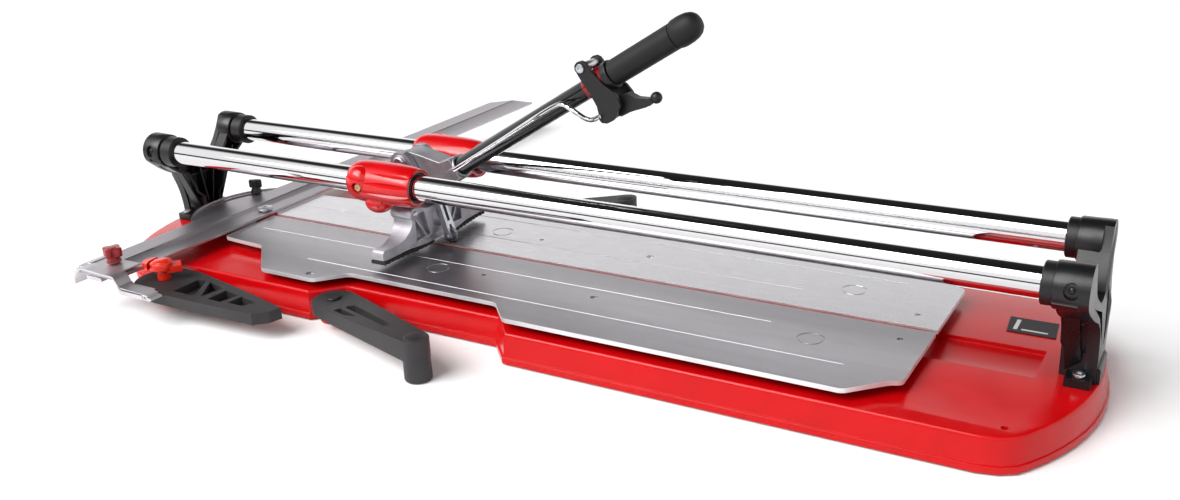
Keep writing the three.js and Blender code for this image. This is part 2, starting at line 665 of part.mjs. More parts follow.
// side is -1 for the front arm and 1 for its mirror image at the rear.
function swingArm(name, side, angle) {
  const arm = joined([
    slab(swingArmShape(), ARM_TOP - ARM_THICK, ARM_TOP),
    post(SWING_ARM_LENGTH, 0, 0, POST_TOP, POST_RADIUS),
  ]);
  const upper = polygon([[36, -4], [36, 6], [128, 3], [128, -5]]);
  const lower = polygon([[34, -19], [34, -10], [74, -11], [58, -18]]);
  const holes = [
    slab(upper, ARM_TOP - ARM_THICK - 1, ARM_TOP + 1),
    slab(lower, ARM_TOP - ARM_THICK - 1, ARM_TOP + 1),
    post(0, 0, ARM_TOP - ARM_THICK - 1, ARM_TOP + 1, ARM_PIN_RADIUS + GAP),
  ];
  let solid = cutBy(arm, holes).rotate([0, 0, angle]);
  if (side > 0) solid = solid.mirror([0, 1, 0]);
  placeSolid(name, solid.translate([SWING_ARM_X, side * SWING_ARM_Y, 0]), DARK_PLASTIC());
}

function sideArm() {
  const outline = new THREE.Shape();
  const end = SIDE_ARM_LENGTH;
  outline.absarc(0, 0, SIDE_ARM_HUB, Math.PI / 2, Math.PI * 1.5, false);
  outline.lineTo(end - 14, -SIDE_ARM_HUB);
  outline.lineTo(end, -SIDE_ARM_HUB + 2 * SIDE_ARM_TIP);
  outline.lineTo(20, SIDE_ARM_HUB);
  const windows = [
    [[34, -22], [34, 18], [78, 12], [60, -22]],
    [[66, -22], [84, 10], [112, 5], [112, -22]],
    [[120, -22], [120, 3], [152, -3], [152, -22]],
  ];
  const holes = windows.map((points) => slab(polygon(points), ARM_TOP - ARM_THICK + 4, ARM_TOP + 1));
  holes.push(post(0, 0, 0, ARM_TOP + 1, ARM_PIN_RADIUS + GAP));
  const solid = cutBy(joined([slab(outline, ARM_TOP - ARM_THICK, ARM_TOP)]), holes);
  placeSolid('side_arm', solid.translate([SIDE_ARM_X, SIDE_ARM_Y, 0]), DARK_PLASTIC());
  const cap = cutBy(joined([
    post(SIDE_ARM_X, SIDE_ARM_Y, ARM_TOP + GAP, ARM_TOP + 14, 8),
    slab(starShape(SIDE_ARM_X, SIDE_ARM_Y, CAP_RADIUS, 3), ARM_TOP + 13, ARM_TOP + CAP_HEIGHT),
  ]), [post(SIDE_ARM_X, SIDE_ARM_Y, ARM_TOP - 1, ARM_TOP + 8 + GAP, ARM_PIN_RADIUS + GAP)]);
  placeSolid('side_arm_knob', cap, RED_PLASTIC());
}

function armPins() {
  const bottom = BRACKET_TOP - BRACKET_THICK + 1;
  for (const { name, x, y } of ARM_PINS) {
    const reachesKnob = name === 'side_arm_pin';
    const pieces = [post(x, y, bottom, ARM_TOP + (reachesKnob ? 8 : 1), ARM_PIN_RADIUS)];
    if (!reachesKnob) {
      pieces.push(post(x, y, ARM_TOP + GAP, ARM_TOP + ARM_PIN_HEAD, ARM_PIN_RADIUS + ARM_PIN_HEAD));
    }
    placeSolid(name, joined(pieces), ZINC());
  }
}

// ---------------------------------------------------------------- carriage

const HOUSING_RADIUS = HOUSING_DIAMETER / 2;
const HOUSING_LEFT = CARRIAGE_X - HOUSING_LENGTH / 2;
const HOUSING_RIGHT = CARRIAGE_X + HOUSING_LENGTH / 2;
const BUSH_OUTER = RAIL_DIAMETER / 2 + GAP + BUSH_WALL;
const LUG_OUTSIDE = LUG_INSIDE + LUG_THICK;

function carriage() {
  const half = BRIDGE_LENGTH / 2;
  const lug = polygon([
    [HANDLE_PIVOT_X - 20, BRIDGE_BOTTOM + 2], [HANDLE_PIVOT_X + 34, BRIDGE_BOTTOM + 2],
    [HANDLE_PIVOT_X + 12, HANDLE_PIVOT_Z + 8], [HANDLE_PIVOT_X + 4, HANDLE_PIVOT_Z + 12],
    [HANDLE_PIVOT_X - 4, HANDLE_PIVOT_Z + 12], [HANDLE_PIVOT_X - 12, HANDLE_PIVOT_Z + 8],
  ]);
  const pieces = [
    box(CARRIAGE_X - half, CARRIAGE_X + half, -RAIL_Y, RAIL_Y, BRIDGE_BOTTOM, BRIDGE_TOP),
    slabY(lug, -LUG_OUTSIDE, -LUG_INSIDE),
    slabY(lug, LUG_INSIDE, LUG_OUTSIDE),
  ];
  const holes = [
    box(HANDLE_PIVOT_X + 14, CARRIAGE_X + half + 1, -LUG_INSIDE, LUG_INSIDE,
      BRIDGE_BOTTOM + 6, BRIDGE_TOP + 1),
    barY(HANDLE_PIVOT_X, -40, 40, HANDLE_PIVOT_Z, HANDLE_PIN_RADIUS + GAP),
    post(FOOT_X, 0, FOOT_TOP, BRIDGE_TOP + 1, STEM_RADIUS + GAP),
  ];
  for (const y of [-RAIL_Y, RAIL_Y]) {
    pieces.push(barX(HOUSING_LEFT, HOUSING_RIGHT, y, RAIL_HEIGHT, HOUSING_RADIUS));
    holes.push(barX(HOUSING_LEFT - 1, HOUSING_RIGHT + 1, y, RAIL_HEIGHT, BUSH_OUTER + GAP));
  }
  const socket = HOLDER_THICK / 2 + GAP;
  pieces.push(box(HOLDER_X - 14, HOLDER_X + 10, -16, 16, BRIDGE_BOTTOM - 16, BRIDGE_BOTTOM + 5));
  holes.push(box(HOLDER_X - socket, HOLDER_X + socket, -HOLDER_HALF_WIDTH - GAP,
    HOLDER_HALF_WIDTH + GAP, FOOT_BOTTOM, BRIDGE_BOTTOM + 2));
  placeSolid('carriage_body', cutBy(joined(pieces), holes), CAST_ALUMINIUM());
  for (const [name, side] of [['front', -1], ['rear', 1]]) {
    const y = side * RAIL_Y;
    place(`${name}_bush`, tubeX(HOUSING_LEFT, HOUSING_RIGHT, y, RAIL_HEIGHT, BUSH_OUTER,
      RAIL_DIAMETER / 2 + SLIP / 2), RUBBER());
    cover(`${name}_cover`, side);
  }
}

// Moulded cover that clips over the outer side of a bearing housing.
function cover(name, side) {
  const y = side * RAIL_Y;
  const inner = HOUSING_RADIUS + GAP;
  const ring = toSolid(tubeX(HOUSING_LEFT - 2, HOUSING_RIGHT + 2, y, RAIL_HEIGHT,
    inner + COVER_THICK, inner));
  const inwards = y - side * 10;
  const outwards = y + side * 40;
  const keep = box(HOUSING_LEFT - 3, HOUSING_RIGHT + 3, Math.min(inwards, outwards),
    Math.max(inwards, outwards), RAIL_HEIGHT - 40, RAIL_HEIGHT + 40);
  const bridgeSlot = box(CARRIAGE_X - BRIDGE_LENGTH / 2 - GAP, CARRIAGE_X + BRIDGE_LENGTH / 2 + GAP,
    y - 12 - GAP, y + 12 + GAP, RAIL_HEIGHT - 40, BRIDGE_TOP - 8);
  placeSolid(name, ring.intersect(toSolid(keep)).subtract(toSolid(bridgeSlot)), RED_PLASTIC());
}

// ---------------------------------------------------------------- handle

// Puts a shape drawn along the handle's own axis (X along it, Z square to it) in its place.
function alongHandle(geometry) {
  geometry.rotateY(-HANDLE_ANGLE * Math.PI / 180);
  geometry.translate(HANDLE_ROOT_X, 0, HANDLE_ROOT_Z);
  return geometry;
}

// Place of the handle's pivot in the handle's own axes.
function pivotOnHandle() {
  const a = HANDLE_ANGLE * Math.PI / 180;
  const dx = HANDLE_PIVOT_X - HANDLE_ROOT_X;
  const dz = HANDLE_PIVOT_Z - HANDLE_ROOT_Z;
  return [dx * Math.cos(a) + dz * Math.sin(a), -dx * Math.sin(a) + dz * Math.cos(a)];
}

function handle() {
  const [u, v] = pivotOnHandle();
  const halfFork = LUG_INSIDE - GAP;
  const crank = polygon([
    [u - 11, v + 4], [u - 4, v + 11], [u + 10, v + 10], [TUBE_START + 6, TUBE_RADIUS + 4],
    [TUBE_START + 22, TUBE_RADIUS + 3], [TUBE_START + 22, -TUBE_RADIUS - 3],
    [TUBE_START - 4, -TUBE_RADIUS - 3], [TUBE_START - 14, -2], [u + 8, v - 11], [u - 8, v - 9],
  ]);
  const fork = cutBy(joined([alongHandle(slabY(crank, -halfFork, halfFork))]), [
    alongHandle(barX(TUBE_START - GAP, TUBE_START + 40, 0, 0, TUBE_RADIUS + GAP)),
    barY(HANDLE_PIVOT_X, -40, 40, HANDLE_PIVOT_Z, HANDLE_PIN_RADIUS + GAP),
  ]);
  placeSolid('handle_fork', fork, CAST_ALUMINIUM());
  place('handle_tube', alongHandle(barX(TUBE_START, TUBE_END, 0, 0, TUBE_RADIUS, 32)), BLACK_CASTING());
  const ball = new THREE.SphereGeometry(GRIP_BALL, 20, 10);
  ball.translate(GRIP_END, 0, 0);
  const grip = joined([barX(GRIP_START, GRIP_END, 0, 0, GRIP_RADIUS), ball]);
  placeSolid('grip', toSolid(alongHandle(toGeometry(grip))), RUBBER());
  const pin = joined([
    barY(HANDLE_PIVOT_X, -LUG_OUTSIDE - 3, LUG_OUTSIDE + 3, HANDLE_PIVOT_Z, HANDLE_PIN_RADIUS),
    barY(HANDLE_PIVOT_X, -LUG_OUTSIDE - 5, -LUG_OUTSIDE - GAP, HANDLE_PIVOT_Z, HANDLE_PIN_RADIUS + 3),
  ]);
  placeSolid('handle_pivot_pin', pin, ZINC());
}

// Clamp on the tube that carries the thumb lever, with a lever that swings and pushes a rod.
function triggerParts() {
  const side = CHEEK_OUTSIDE;
  const eye = alongHandle(barX(CLAMP_START, CLAMP_END, 0, 0, CLAMP_RADIUS));
  const ear = alongHandle(box(CLAMP_START, CLAMP_END, -9, 9, 8, CLAMP_EAR + 6));
  const cheek = polygon([
    [CLAMP_START + 6, -8], [CLAMP_END, -8], [TRIGGER_PIVOT + 10, -TRIGGER_DROP + 4],
    [TRIGGER_PIVOT + 6, -TRIGGER_DROP - 8], [TRIGGER_PIVOT - 12, -TRIGGER_DROP - 8],
  ]);
  const frontCheek = alongHandle(slabY(cheek, -side, -side + CHEEK_THICK));
  const rearCheek = alongHandle(slabY(cheek, side - CHEEK_THICK, side));
  const clamp = cutBy(joined([eye, ear, frontCheek, rearCheek]), [
    alongHandle(barX(CLAMP_START - 1, CLAMP_END + 1, 0, 0, TUBE_RADIUS + GAP)),
    alongHandle(barY(TRIGGER_PIVOT, -30, 30, -TRIGGER_DROP, 3 + GAP)),
  ]);
  placeSolid('trigger_clamp', clamp, DARK_PLASTIC());
  const inside = side - CHEEK_THICK - GAP;
  const lever = polygon([
    [TRIGGER_PIVOT - 7, -TRIGGER_DROP + 6], [TRIGGER_PIVOT + 8, -TRIGGER_DROP + 6],
    [TRIGGER_PIVOT + LEVER_LENGTH - 4, -TRIGGER_DROP - 8],
    [TRIGGER_PIVOT + LEVER_LENGTH - 4, -TRIGGER_DROP - 14],
    [TRIGGER_PIVOT + 6, -TRIGGER_DROP - 12], [TRIGGER_PIVOT - 7, -TRIGGER_DROP - 6],
  ]);
  const knob = new THREE.SphereGeometry(6.5, 14, 8);
  knob.translate(TRIGGER_PIVOT + LEVER_LENGTH, 0, -TRIGGER_DROP - 11);
  const trigger = joined([
    alongHandle(slabY(lever, -inside + 3, inside - 3)),
    alongHandle(barY(TRIGGER_PIVOT, -side - 2, side + 2, -TRIGGER_DROP, 3, 20)),
    alongHandle(knob),
  ]);
  placeSolid('thumb_lever', trigger, DARK_PLASTIC());
}

// Bright wire rod in front of the tube, cranked down to the lever at its upper end.
function pushRod() {
  const y = -ROD_SIDE - ROD_RADIUS;
  const end = TRIGGER_PIVOT - 16;
  const points = [
    [TUBE_START + 26, 0], [CLAMP_START - 40, 0], [CLAMP_START - 34, -3],
    [end - 22, -TRIGGER_DROP + 3], [end - 16, -TRIGGER_DROP], [end, -TRIGGER_DROP],
  ].map(([along, across]) => new THREE.Vector3(along, y, across));
  const path = new THREE.CatmullRomCurve3(points, false, 'catmullrom', 0.1);
  const section = new THREE.Shape();
  section.absarc(0, 0, ROD_RADIUS, 0, 2 * Math.PI, false);
  const rod = new THREE.ExtrudeGeometry(section, {
    steps: 26, curveSegments: 4, bevelEnabled: false, extrudePath: path,
  });
  place('push_rod', alongHandle(rod), CHROME());
}

// ---------------------------------------------------------------- breaker foot and scoring wheel

function breakerFoot() {
  const x0 = FOOT_X - FOOT_LENGTH / 2;
  const x1 = FOOT_X + FOOT_LENGTH / 2;
  const half = [
    [34, FOOT_TOP], [50, FOOT_TOP + 2], [54, FOOT_TOP - 8], [46, FOOT_TOP - 18],
    [56, FOOT_BOTTOM + 16], [80, FOOT_BOTTOM + 9], [FOOT_HALF_WIDTH, FOOT_BOTTOM + 6],
    [FOOT_HALF_WIDTH, FOOT_BOTTOM],
  ];
  const mirror = half.map(([y, z]) => [-y, z]).reverse();
  const profile = polygon([...half, ...mirror]);
  const solid = cutBy(joined([
    slabX(profile, x0, x1),
    post(FOOT_X, 0, FOOT_TOP - 2, BRIDGE_TOP + 1, STEM_RADIUS),
  ]), [
    slabX(polygon([[-14, FOOT_TOP - 14], [14, FOOT_TOP - 14], [8, FOOT_BOTTOM + 12],
      [-8, FOOT_BOTTOM + 12]]), x0 - 1, x1 + 1),
    box(x1 - 6, x1 + 1, -12, 12, FOOT_BOTTOM - 1, FOOT_TOP + 1),
  ]);
  placeSolid('breaker_foot', solid, CAST_ALUMINIUM());
  for (const [name, side] of [['front', -1], ['rear', 1]]) {
    const near = side * 14;
    const far = side * FOOT_HALF_WIDTH;
    place(`${name}_foot_pad`, box(x0 + 1, x1 - 1, Math.min(near, far), Math.max(near, far),
      FOOT_BOTTOM - GAP - PAD_THICK, FOOT_BOTTOM - GAP), RUBBER());
  }
}

function scoringWheel() {
  const half = HOLDER_HALF_WIDTH;
  const slot = WHEEL_SLOT / 2;
  const x0 = HOLDER_X - HOLDER_THICK / 2;
  const x1 = HOLDER_X + HOLDER_THICK / 2;
  const bore = AXLE_RADIUS + GAP;
  const holder = cutBy(joined([
    box(x0, x1, -half, half, WHEEL_CENTRE_Z - 5, BRIDGE_BOTTOM + 1),
  ]), [
    box(x0 - 1, x1 + 1, -slot, slot, 0, WHEEL_CENTRE_Z + WHEEL_RADIUS + 2),
    barY(HOLDER_X, -20, 20, WHEEL_CENTRE_Z, bore, 20),
  ]);
  placeSolid('wheel_holder', holder, ZINC());
  const bevel = [
    new THREE.Vector2(bore, -slot + GAP), new THREE.Vector2(WHEEL_RADIUS - 2, -slot + GAP),
    new THREE.Vector2(WHEEL_RADIUS, 0), new THREE.Vector2(WHEEL_RADIUS - 2, slot - GAP),
    new THREE.Vector2(bore, slot - GAP), new THREE.Vector2(bore, -slot + GAP),
  ];
  const wheel = new THREE.LatheGeometry(bevel, 28);
  wheel.translate(HOLDER_X, 0, WHEEL_CENTRE_Z);
  place('scoring_wheel', wheel, ZINC());
  place('wheel_axle', barY(HOLDER_X, -half - 1, half + 1, WHEEL_CENTRE_Z, AXLE_RADIUS, 20), ZINC());
}

// ---------------------------------------------------------------- assembly

tray();
baseFeet();
tables();
stand('right_stand', 1);
stand('left_stand', -1);
toeScrews();
rails();
fence();
stop();
swingArm('front_arm', -1, FRONT_ARM_ANGLE);
swingArm('rear_arm', 1, REAR_ARM_ANGLE);
sideArm();
armPins();
carriage();
handle();
triggerParts();
pushRod();
breakerFoot();
scoringWheel();

export default parts;
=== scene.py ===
import math

import bmesh
import bpy
from mathutils import Matrix, Vector


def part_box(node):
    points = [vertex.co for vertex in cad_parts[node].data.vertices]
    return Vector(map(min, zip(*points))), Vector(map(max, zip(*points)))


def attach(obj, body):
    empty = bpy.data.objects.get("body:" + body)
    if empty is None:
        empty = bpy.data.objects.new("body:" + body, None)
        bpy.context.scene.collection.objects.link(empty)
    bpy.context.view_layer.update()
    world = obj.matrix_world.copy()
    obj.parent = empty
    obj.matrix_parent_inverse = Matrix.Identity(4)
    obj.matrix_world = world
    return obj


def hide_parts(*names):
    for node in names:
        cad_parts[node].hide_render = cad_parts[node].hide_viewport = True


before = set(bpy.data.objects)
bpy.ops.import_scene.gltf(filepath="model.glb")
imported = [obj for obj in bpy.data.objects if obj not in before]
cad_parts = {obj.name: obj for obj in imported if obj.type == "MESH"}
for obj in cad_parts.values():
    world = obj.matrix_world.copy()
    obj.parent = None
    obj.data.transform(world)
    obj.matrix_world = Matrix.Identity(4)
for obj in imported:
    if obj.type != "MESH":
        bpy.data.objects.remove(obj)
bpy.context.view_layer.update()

# ---- Tray ----
# Deep-drawn steel pressing with bowed ends, a hem round its foot and a recess in each long
# side for a folded support arm. Powder coated in a glossy red.

MM = 0.001


def cad(node):
    """Lowest and highest corner of a CAD node, in millimetres."""
    low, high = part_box(node)
    return low / MM, high / MM


def linear(code, alpha=1.0):
    """An sRGB hex colour as the linear values that a shader takes."""
    channels = [int(code[i : i + 2], 16) / 255 for i in (1, 3, 5)]
    return [c / 12.92 if c <= 0.04045 else ((c + 0.055) / 1.055) ** 2.4 for c in channels] + [alpha]


def add(tree, kind, settings, links=None):
    """Adds a node, with its settings and what is linked to its inputs."""
    node = tree.nodes.new(kind)
    for key, value in settings.items():
        if key in node.inputs:
            node.inputs[key].default_value = value
        else:
            setattr(node, key, value)
    for key, source in (links or {}).items():
        tree.links.new(source, node.inputs[key])
    return node


def surface(name, colour, second, metallic, rough, rough_to, grain_mm, bump_mm, stretch=(1, 1, 1), shine=0.5):
    """Two close colours in soft clouds, a roughness between two values, and a fine relief of
    grain_mm. stretch draws the pattern out along an axis."""
    mat = bpy.data.materials.new(name)
    mat.use_nodes = True
    tree = mat.node_tree
    shader = tree.nodes["Principled BSDF"]
    shader.inputs["Metallic"].default_value = metallic
    shader.inputs["Specular IOR Level"].default_value = shine
    place = add(tree, "ShaderNodeTexCoord", {}).outputs["Object"]
    drawn = add(tree, "ShaderNodeMapping", {"Scale": [1 / s for s in stretch]}, {"Vector": place})
    spot = {"Vector": drawn.outputs["Vector"]}
    clouds_per_metre = 28.0
    cloud = add(tree, "ShaderNodeTexNoise", {"Scale": clouds_per_metre, "Detail": 4.0}, spot)
    grain = add(tree, "ShaderNodeTexNoise", {"Scale": 1000 / grain_mm, "Detail": 2.0}, spot)
    tint = add(tree, "ShaderNodeValToRGB", {}, {"Fac": cloud.outputs["Fac"]})
    tint.color_ramp.elements[0].position = 0.35
    tint.color_ramp.elements[0].color = linear(colour)
    tint.color_ramp.elements[1].position = 0.65
    tint.color_ramp.elements[1].color = linear(second)
    patches = {0: cloud.outputs["Fac"], 1: grain.outputs["Fac"]}
    both = add(tree, "ShaderNodeMath", {"operation": "MULTIPLY"}, patches)
    limits = {"From Min": 0.12, "From Max": 0.4, "To Min": rough, "To Max": rough_to}
    spread = add(tree, "ShaderNodeMapRange", limits, {"Value": both.outputs["Value"]})
    height = {"Strength": 0.6, "Distance": bump_mm * MM}
    relief = add(tree, "ShaderNodeBump", height, {"Height": grain.outputs["Fac"]})
    tree.links.new(tint.outputs["Color"], shader.inputs["Base Color"])
    tree.links.new(spread.outputs["Result"], shader.inputs["Roughness"])
    tree.links.new(relief.outputs["Normal"], shader.inputs["Normal"])
    return mat


def slab(points, low, high):
    """An outline in plan, raised from one height to another."""
    bm = bmesh.new()
    face = bm.faces.new([bm.verts.new((x, y, low)) for x, y in points])
    lifted = bmesh.ops.extrude_face_region(bm, geom=[face])
    raised = [v for v in lifted["geom"] if isinstance(v, bmesh.types.BMVert)]
    bmesh.ops.translate(bm, vec=(0, 0, high - low), verts=raised)
    bmesh.ops.recalc_face_normals(bm, faces=bm.faces)
    return bm


def block(x0, x1, y0, y1, z0, z1):
    """A rectangular blank between two corners."""
    return slab([(x0, y0), (x1, y0), (x1, y1), (x0, y1)], z0, z1)


def moved(bm, matrix):
    """The same shape, moved or turned."""
    bmesh.ops.transform(bm, matrix=matrix, verts=bm.verts)
    return bm


def at(x, y, z):
    return Matrix.Translation((x, y, z))


def across_x(points, x0, x1):
    """An outline of (y, z), carried along X."""
    return moved(slab(points, x0, x1), Matrix(((0, 0, 1, 0), (1, 0, 0, 0), (0, 1, 0, 0), (0, 0, 0, 1))))


def turned(profile, sides=48):
    """A profile of (radius, height) turned about the upright axis."""
    bm = bmesh.new()
    ring = [bm.verts.new((r, 0, z)) for r, z in profile]
    edges = [bm.edges.new((a, b)) for a, b in zip(ring, ring[1:])]
    circle = {"cent": (0, 0, 0), "axis": (0, 0, 1), "angle": 2 * math.pi, "steps": sides}
    bmesh.ops.spin(bm, geom=ring + edges, use_merge=True, **circle)
    bmesh.ops.remove_doubles(bm, verts=bm.verts, dist=0.002)
    bmesh.ops.recalc_face_normals(bm, faces=bm.faces)
    return bm


def post(radius, low, high, edge=0.0, sides=48):
    """An upright round bar, with eased ends where an edge is given."""
    if not edge:
        return turned([(0, low), (radius, low), (radius, high), (0, high)], sides)
    ease = edge * 0.3
    foot = [(0, low), (radius - edge, low), (radius - ease, low + ease), (radius, low + edge)]
    head = [(radius, high - edge), (radius - ease, high - ease), (radius - edge, high), (0, high)]
    return turned(foot + head, sides)


def middle(node):
    """Moves a shape to the middle of a CAD node, in plan."""
    low, high = cad(node)
    return at((low.x + high.x) / 2, (low.y + high.y) / 2, 0)


def together(*shapes):
    """Several shapes as one mesh."""
    whole = bmesh.new()
    for bm in shapes:
        mesh = bpy.data.meshes.new("part")
        bm.to_mesh(mesh)
        bm.free()
        whole.from_mesh(mesh)
        bpy.data.meshes.remove(mesh)
    return whole


def cut(bm, operation, *tools):
    """The shape with the tools cut out of it (DIFFERENCE), or joined to it (UNION)."""
    objects = []
    for shape in (bm, together(*tools)):
        mesh = bpy.data.meshes.new("blank")
        shape.to_mesh(mesh)
        shape.free()
        obj = bpy.data.objects.new("blank", mesh)
        bpy.context.scene.collection.objects.link(obj)
        objects.append(obj)
    blank, tool = objects
    modifier = blank.modifiers.new("cut", "BOOLEAN")
    modifier.operation = operation
    modifier.solver = "EXACT"
    modifier.use_self = operation == "UNION"
    modifier.object = tool
    bpy.context.view_layer.update()
    result = bmesh.new()
    result.from_object(blank, bpy.context.evaluated_depsgraph_get())
    for obj in objects:
        mesh = obj.data
        bpy.data.objects.remove(obj)
        bpy.data.meshes.remove(mesh)
    bmesh.ops.dissolve_limit(result, angle_limit=0.01, verts=result.verts, edges=result.edges)
    return result


def piece(name, bm, body, finish, stands_for=(), edge=0.0, steps=2, angle=30):
    """A finished object: rounds the shape's edges, gives it its material, puts it on its body."""
    bmesh.ops.remove_doubles(bm, verts=bm.verts, dist=0.002)
    bmesh.ops.recalc_face_normals(bm, faces=bm.faces)
    bmesh.ops.scale(bm, vec=(MM, MM, MM), verts=bm.verts)
    mesh = bpy.data.meshes.new(name)
    bm.to_mesh(mesh)
    bm.free()
    for polygon in mesh.polygons:
        polygon.use_smooth = True
    mesh.materials.append(finish)
    obj = bpy.data.objects.new(name, mesh)
    bpy.context.scene.collection.objects.link(obj)
    if edge:
        rounding = obj.modifiers.new("rounding", "BEVEL")
        rounding.width = edge * MM
        rounding.segments = steps
        rounding.limit_method = "ANGLE"
        rounding.angle_limit = math.radians(angle)
        rounding.harden_normals = True
    else:
        mesh.set_sharp_from_angle(angle=math.radians(angle))
    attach(obj, body)
    if stands_for:
        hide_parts(*stands_for)
    return obj


red_powder_coat = surface(
    # Polyester powder, sprayed and stoved: an even, wet-looking red with a 2 mm orange peel.
    "red_powder_coat", "#b40409", "#bc050b", 0.0, 0.16, 0.26, 2.0, 0.02, shine=0.28
)
TRAY_TOP = 36
HEM_OUT = 5
HEM_TOP = 8.5
NOTCH_LEFT, NOTCH_RIGHT = -209, 0
NOTCH_RAMP = 30
END_RADIUS = 250
tray_low, tray_high = cad("base_tray")
half_length = tray_high.x - HEM_OUT
half_width = 160
notch_y = half_width - 32


def tray_plan(out, arc_steps=14):
    """The tray's outline in plan, `out` outside its wall."""
    radius = END_RADIUS + out
    centre = half_length - END_RADIUS
    width = half_width + out
    notch = notch_y + out
    turn = math.asin((width - 24) / radius)
    angles = [turn * (i / arc_steps * 2 - 1) for i in range(arc_steps + 1)]
    right = [(centre + radius * math.cos(a), radius * math.sin(a)) for a in angles]
    corner_x = right[-1][0]
    ease = [(corner_x - 8, width - 13), (corner_x - 22, width - 4.5), (corner_x - 42, width)]
    ramp = NOTCH_RAMP + out / 2
    upper = ease + [
        (NOTCH_RIGHT + ramp, width),
        (NOTCH_RIGHT + out / 2, notch),
        (NOTCH_LEFT - out / 2, notch),
        (NOTCH_LEFT - ramp, width),
    ]
    left = [(-x, y) for x, y in reversed(right)]
    lefts = [(-x, y) for x, y in reversed(ease)]
    half = right[len(right) // 2 :] + upper + lefts + [(x, y) for x, y in left if y >= 0]
    lower = [(x, -y) for x, y in reversed(half)][1:-1]
    return half + lower


tray = slab(tray_plan(HEM_OUT), tray_low.z, HEM_TOP)
top = max(tray.faces, key=lambda f: f.calc_center_median().z)
# The hem's bead, the wall, then the rounding up to the flat top, as (inwards, upwards).
HEM_BEAD = ((0.6, 0.5), (1.2, 0.3))
WALL = ((2.4, TRAY_TOP - HEM_TOP - 4.3),)
SHOULDER = ((0.5, 1.5), (0.7, 1.0), (1.1, 0.75), (1.6, 0.25))
for thickness, depth in HEM_BEAD + WALL + SHOULDER:
    bmesh.ops.inset_region(tray, faces=[top], thickness=thickness, depth=depth, use_even_offset=True)
bottom = min(tray.faces, key=lambda f: f.calc_center_median().z)
bmesh.ops.inset_region(tray, faces=[bottom], thickness=2.5, depth=0, use_even_offset=True)
bmesh.ops.inset_region(tray, faces=[bottom], thickness=1.0, depth=-24, use_even_offset=True)
channel = across_x([(-31, 31.0), (0, 28.6), (31, 31.0), (31, 38), (-31, 38)], 441, 548)
small_hole = moved(post(3.2, 20, 40), at(543, -138, 0))
tray = cut(tray, "DIFFERENCE", channel, small_hole)
bracket_shapes = []
# Each arm's bracket: the pivot's place, and how far inside the wall its plate is welded.
for x, y, wall in ((-200, -164, -126), (-200, 164, 126), (-436, -205, -158)):
    bracket_shapes.append(block(x - 18, x + 18, min(y, wall), max(y, wall), 10, 20))
    bracket_shapes.append(moved(post(18, 10, 20, 1), at(x, y, 0)))
boss = moved(post(15, 30, 51.2, 1), at(-466, 0, 0))
tray = together(tray, boss, *bracket_shapes)
piece("tray", tray, "root", red_powder_coat, ["base_tray"], 0.5, 2, 25)

# ---- Feet, breaking rib and buffers ----
# Moulded rubber feet pushed up into the tray; a red rib that the tile snaps over; rubber
# buffers that spring the two tables.

moulded_rubber = surface(
    # Black natural rubber from a textured mould: dull, with a slightly greyer bloom.
    "moulded_rubber", "#101010", "#191919", 0.0, 0.62, 0.8, 1.6, 0.05
)
for node in ("base_foot_1", "base_foot_2", "base_foot_3", "base_foot_4", "middle_foot"):
    foot = moved(post(14, 0, cad(node)[1].z, 1.6), middle(node))
    piece(node.replace("base_foot", "rubber_foot"), foot, "root", moulded_rubber, [node])
low, high = cad("breaking_rib")
shoulder = high.z - 1.2
rib_section = [(low.y, low.z), (high.y, low.z), (high.y, shoulder), (0.7, high.z), (-0.7, high.z)]
rib = across_x(rib_section + [(low.y, shoulder)], low.x, high.x)
red_paint_in_shade = surface(
    # The same powder coat down in the slot between the tables, painted a deeper red as the slot's painted
    # shade, and rougher, so duller.
    "red_paint_in_shade", "#9c0810", "#a80a12", 0.0, 0.3, 0.42, 2.0, 0.02
)
piece("snapping_rib", rib, "root", red_paint_in_shade, ["breaking_rib"], 0.3)
for n in (1, 2, 3, 4):
    low, high = cad(f"table_buffer_{n}")
    lower = [(0, low.z), (10, low.z), (12, low.z + 1.5), (10.2, low.z + 3.7)]
    spring = turned(lower + [(12, high.z - 1.5), (10, high.z), (0, high.z)])
    spring = moved(spring, middle(f"table_buffer_{n}"))
    piece(f"spring_buffer_{n}", spring, "root", moulded_rubber, [f"table_buffer_{n}"])

# ---- Name plate ----
# A printed polyester label set on the tray's right-hand end, without any mark.

printed_label = surface(
    # Matt over-laminated polyester film: dark grey, with a very even low sheen.
    "printed_label", "#2c2a2c", "#343234", 0.0, 0.5, 0.6, 1.0, 0.005, shine=0.15
)
low, high = cad("name_plate")
SLANT = 3
label_plan = [(low.x + SLANT, low.y), (high.x, low.y), (high.x - SLANT, high.y), (low.x, high.y)]
label = slab(label_plan, low.z, high.z)
piece("plain_label", label, "root", printed_label, ["name_plate"], 0.25)
pale_ink = surface(
    # Pale screen ink on the label: two plain bars.
    "pale_screen_ink", "#bdb8b8", "#c6c2c2", 0.0, 0.4, 0.5, 1.0, 0.005
)
bars = together(
    block(low.x + 8, low.x + 12, low.y + 6, high.y - 6, high.z, high.z + 0.12),
    block(low.x + 16, high.x - 9, low.y + 6, low.y + 9, high.z, high.z + 0.12),
)
piece("label_bars", bars, "root", pale_ink)

# ---- Tables ----
# Two 5 mm aluminium plates, sawn and milled, that rest on the buffers. Their top faces are
# ground, with milled grooves along them, and their edges are left bright from the cutter.

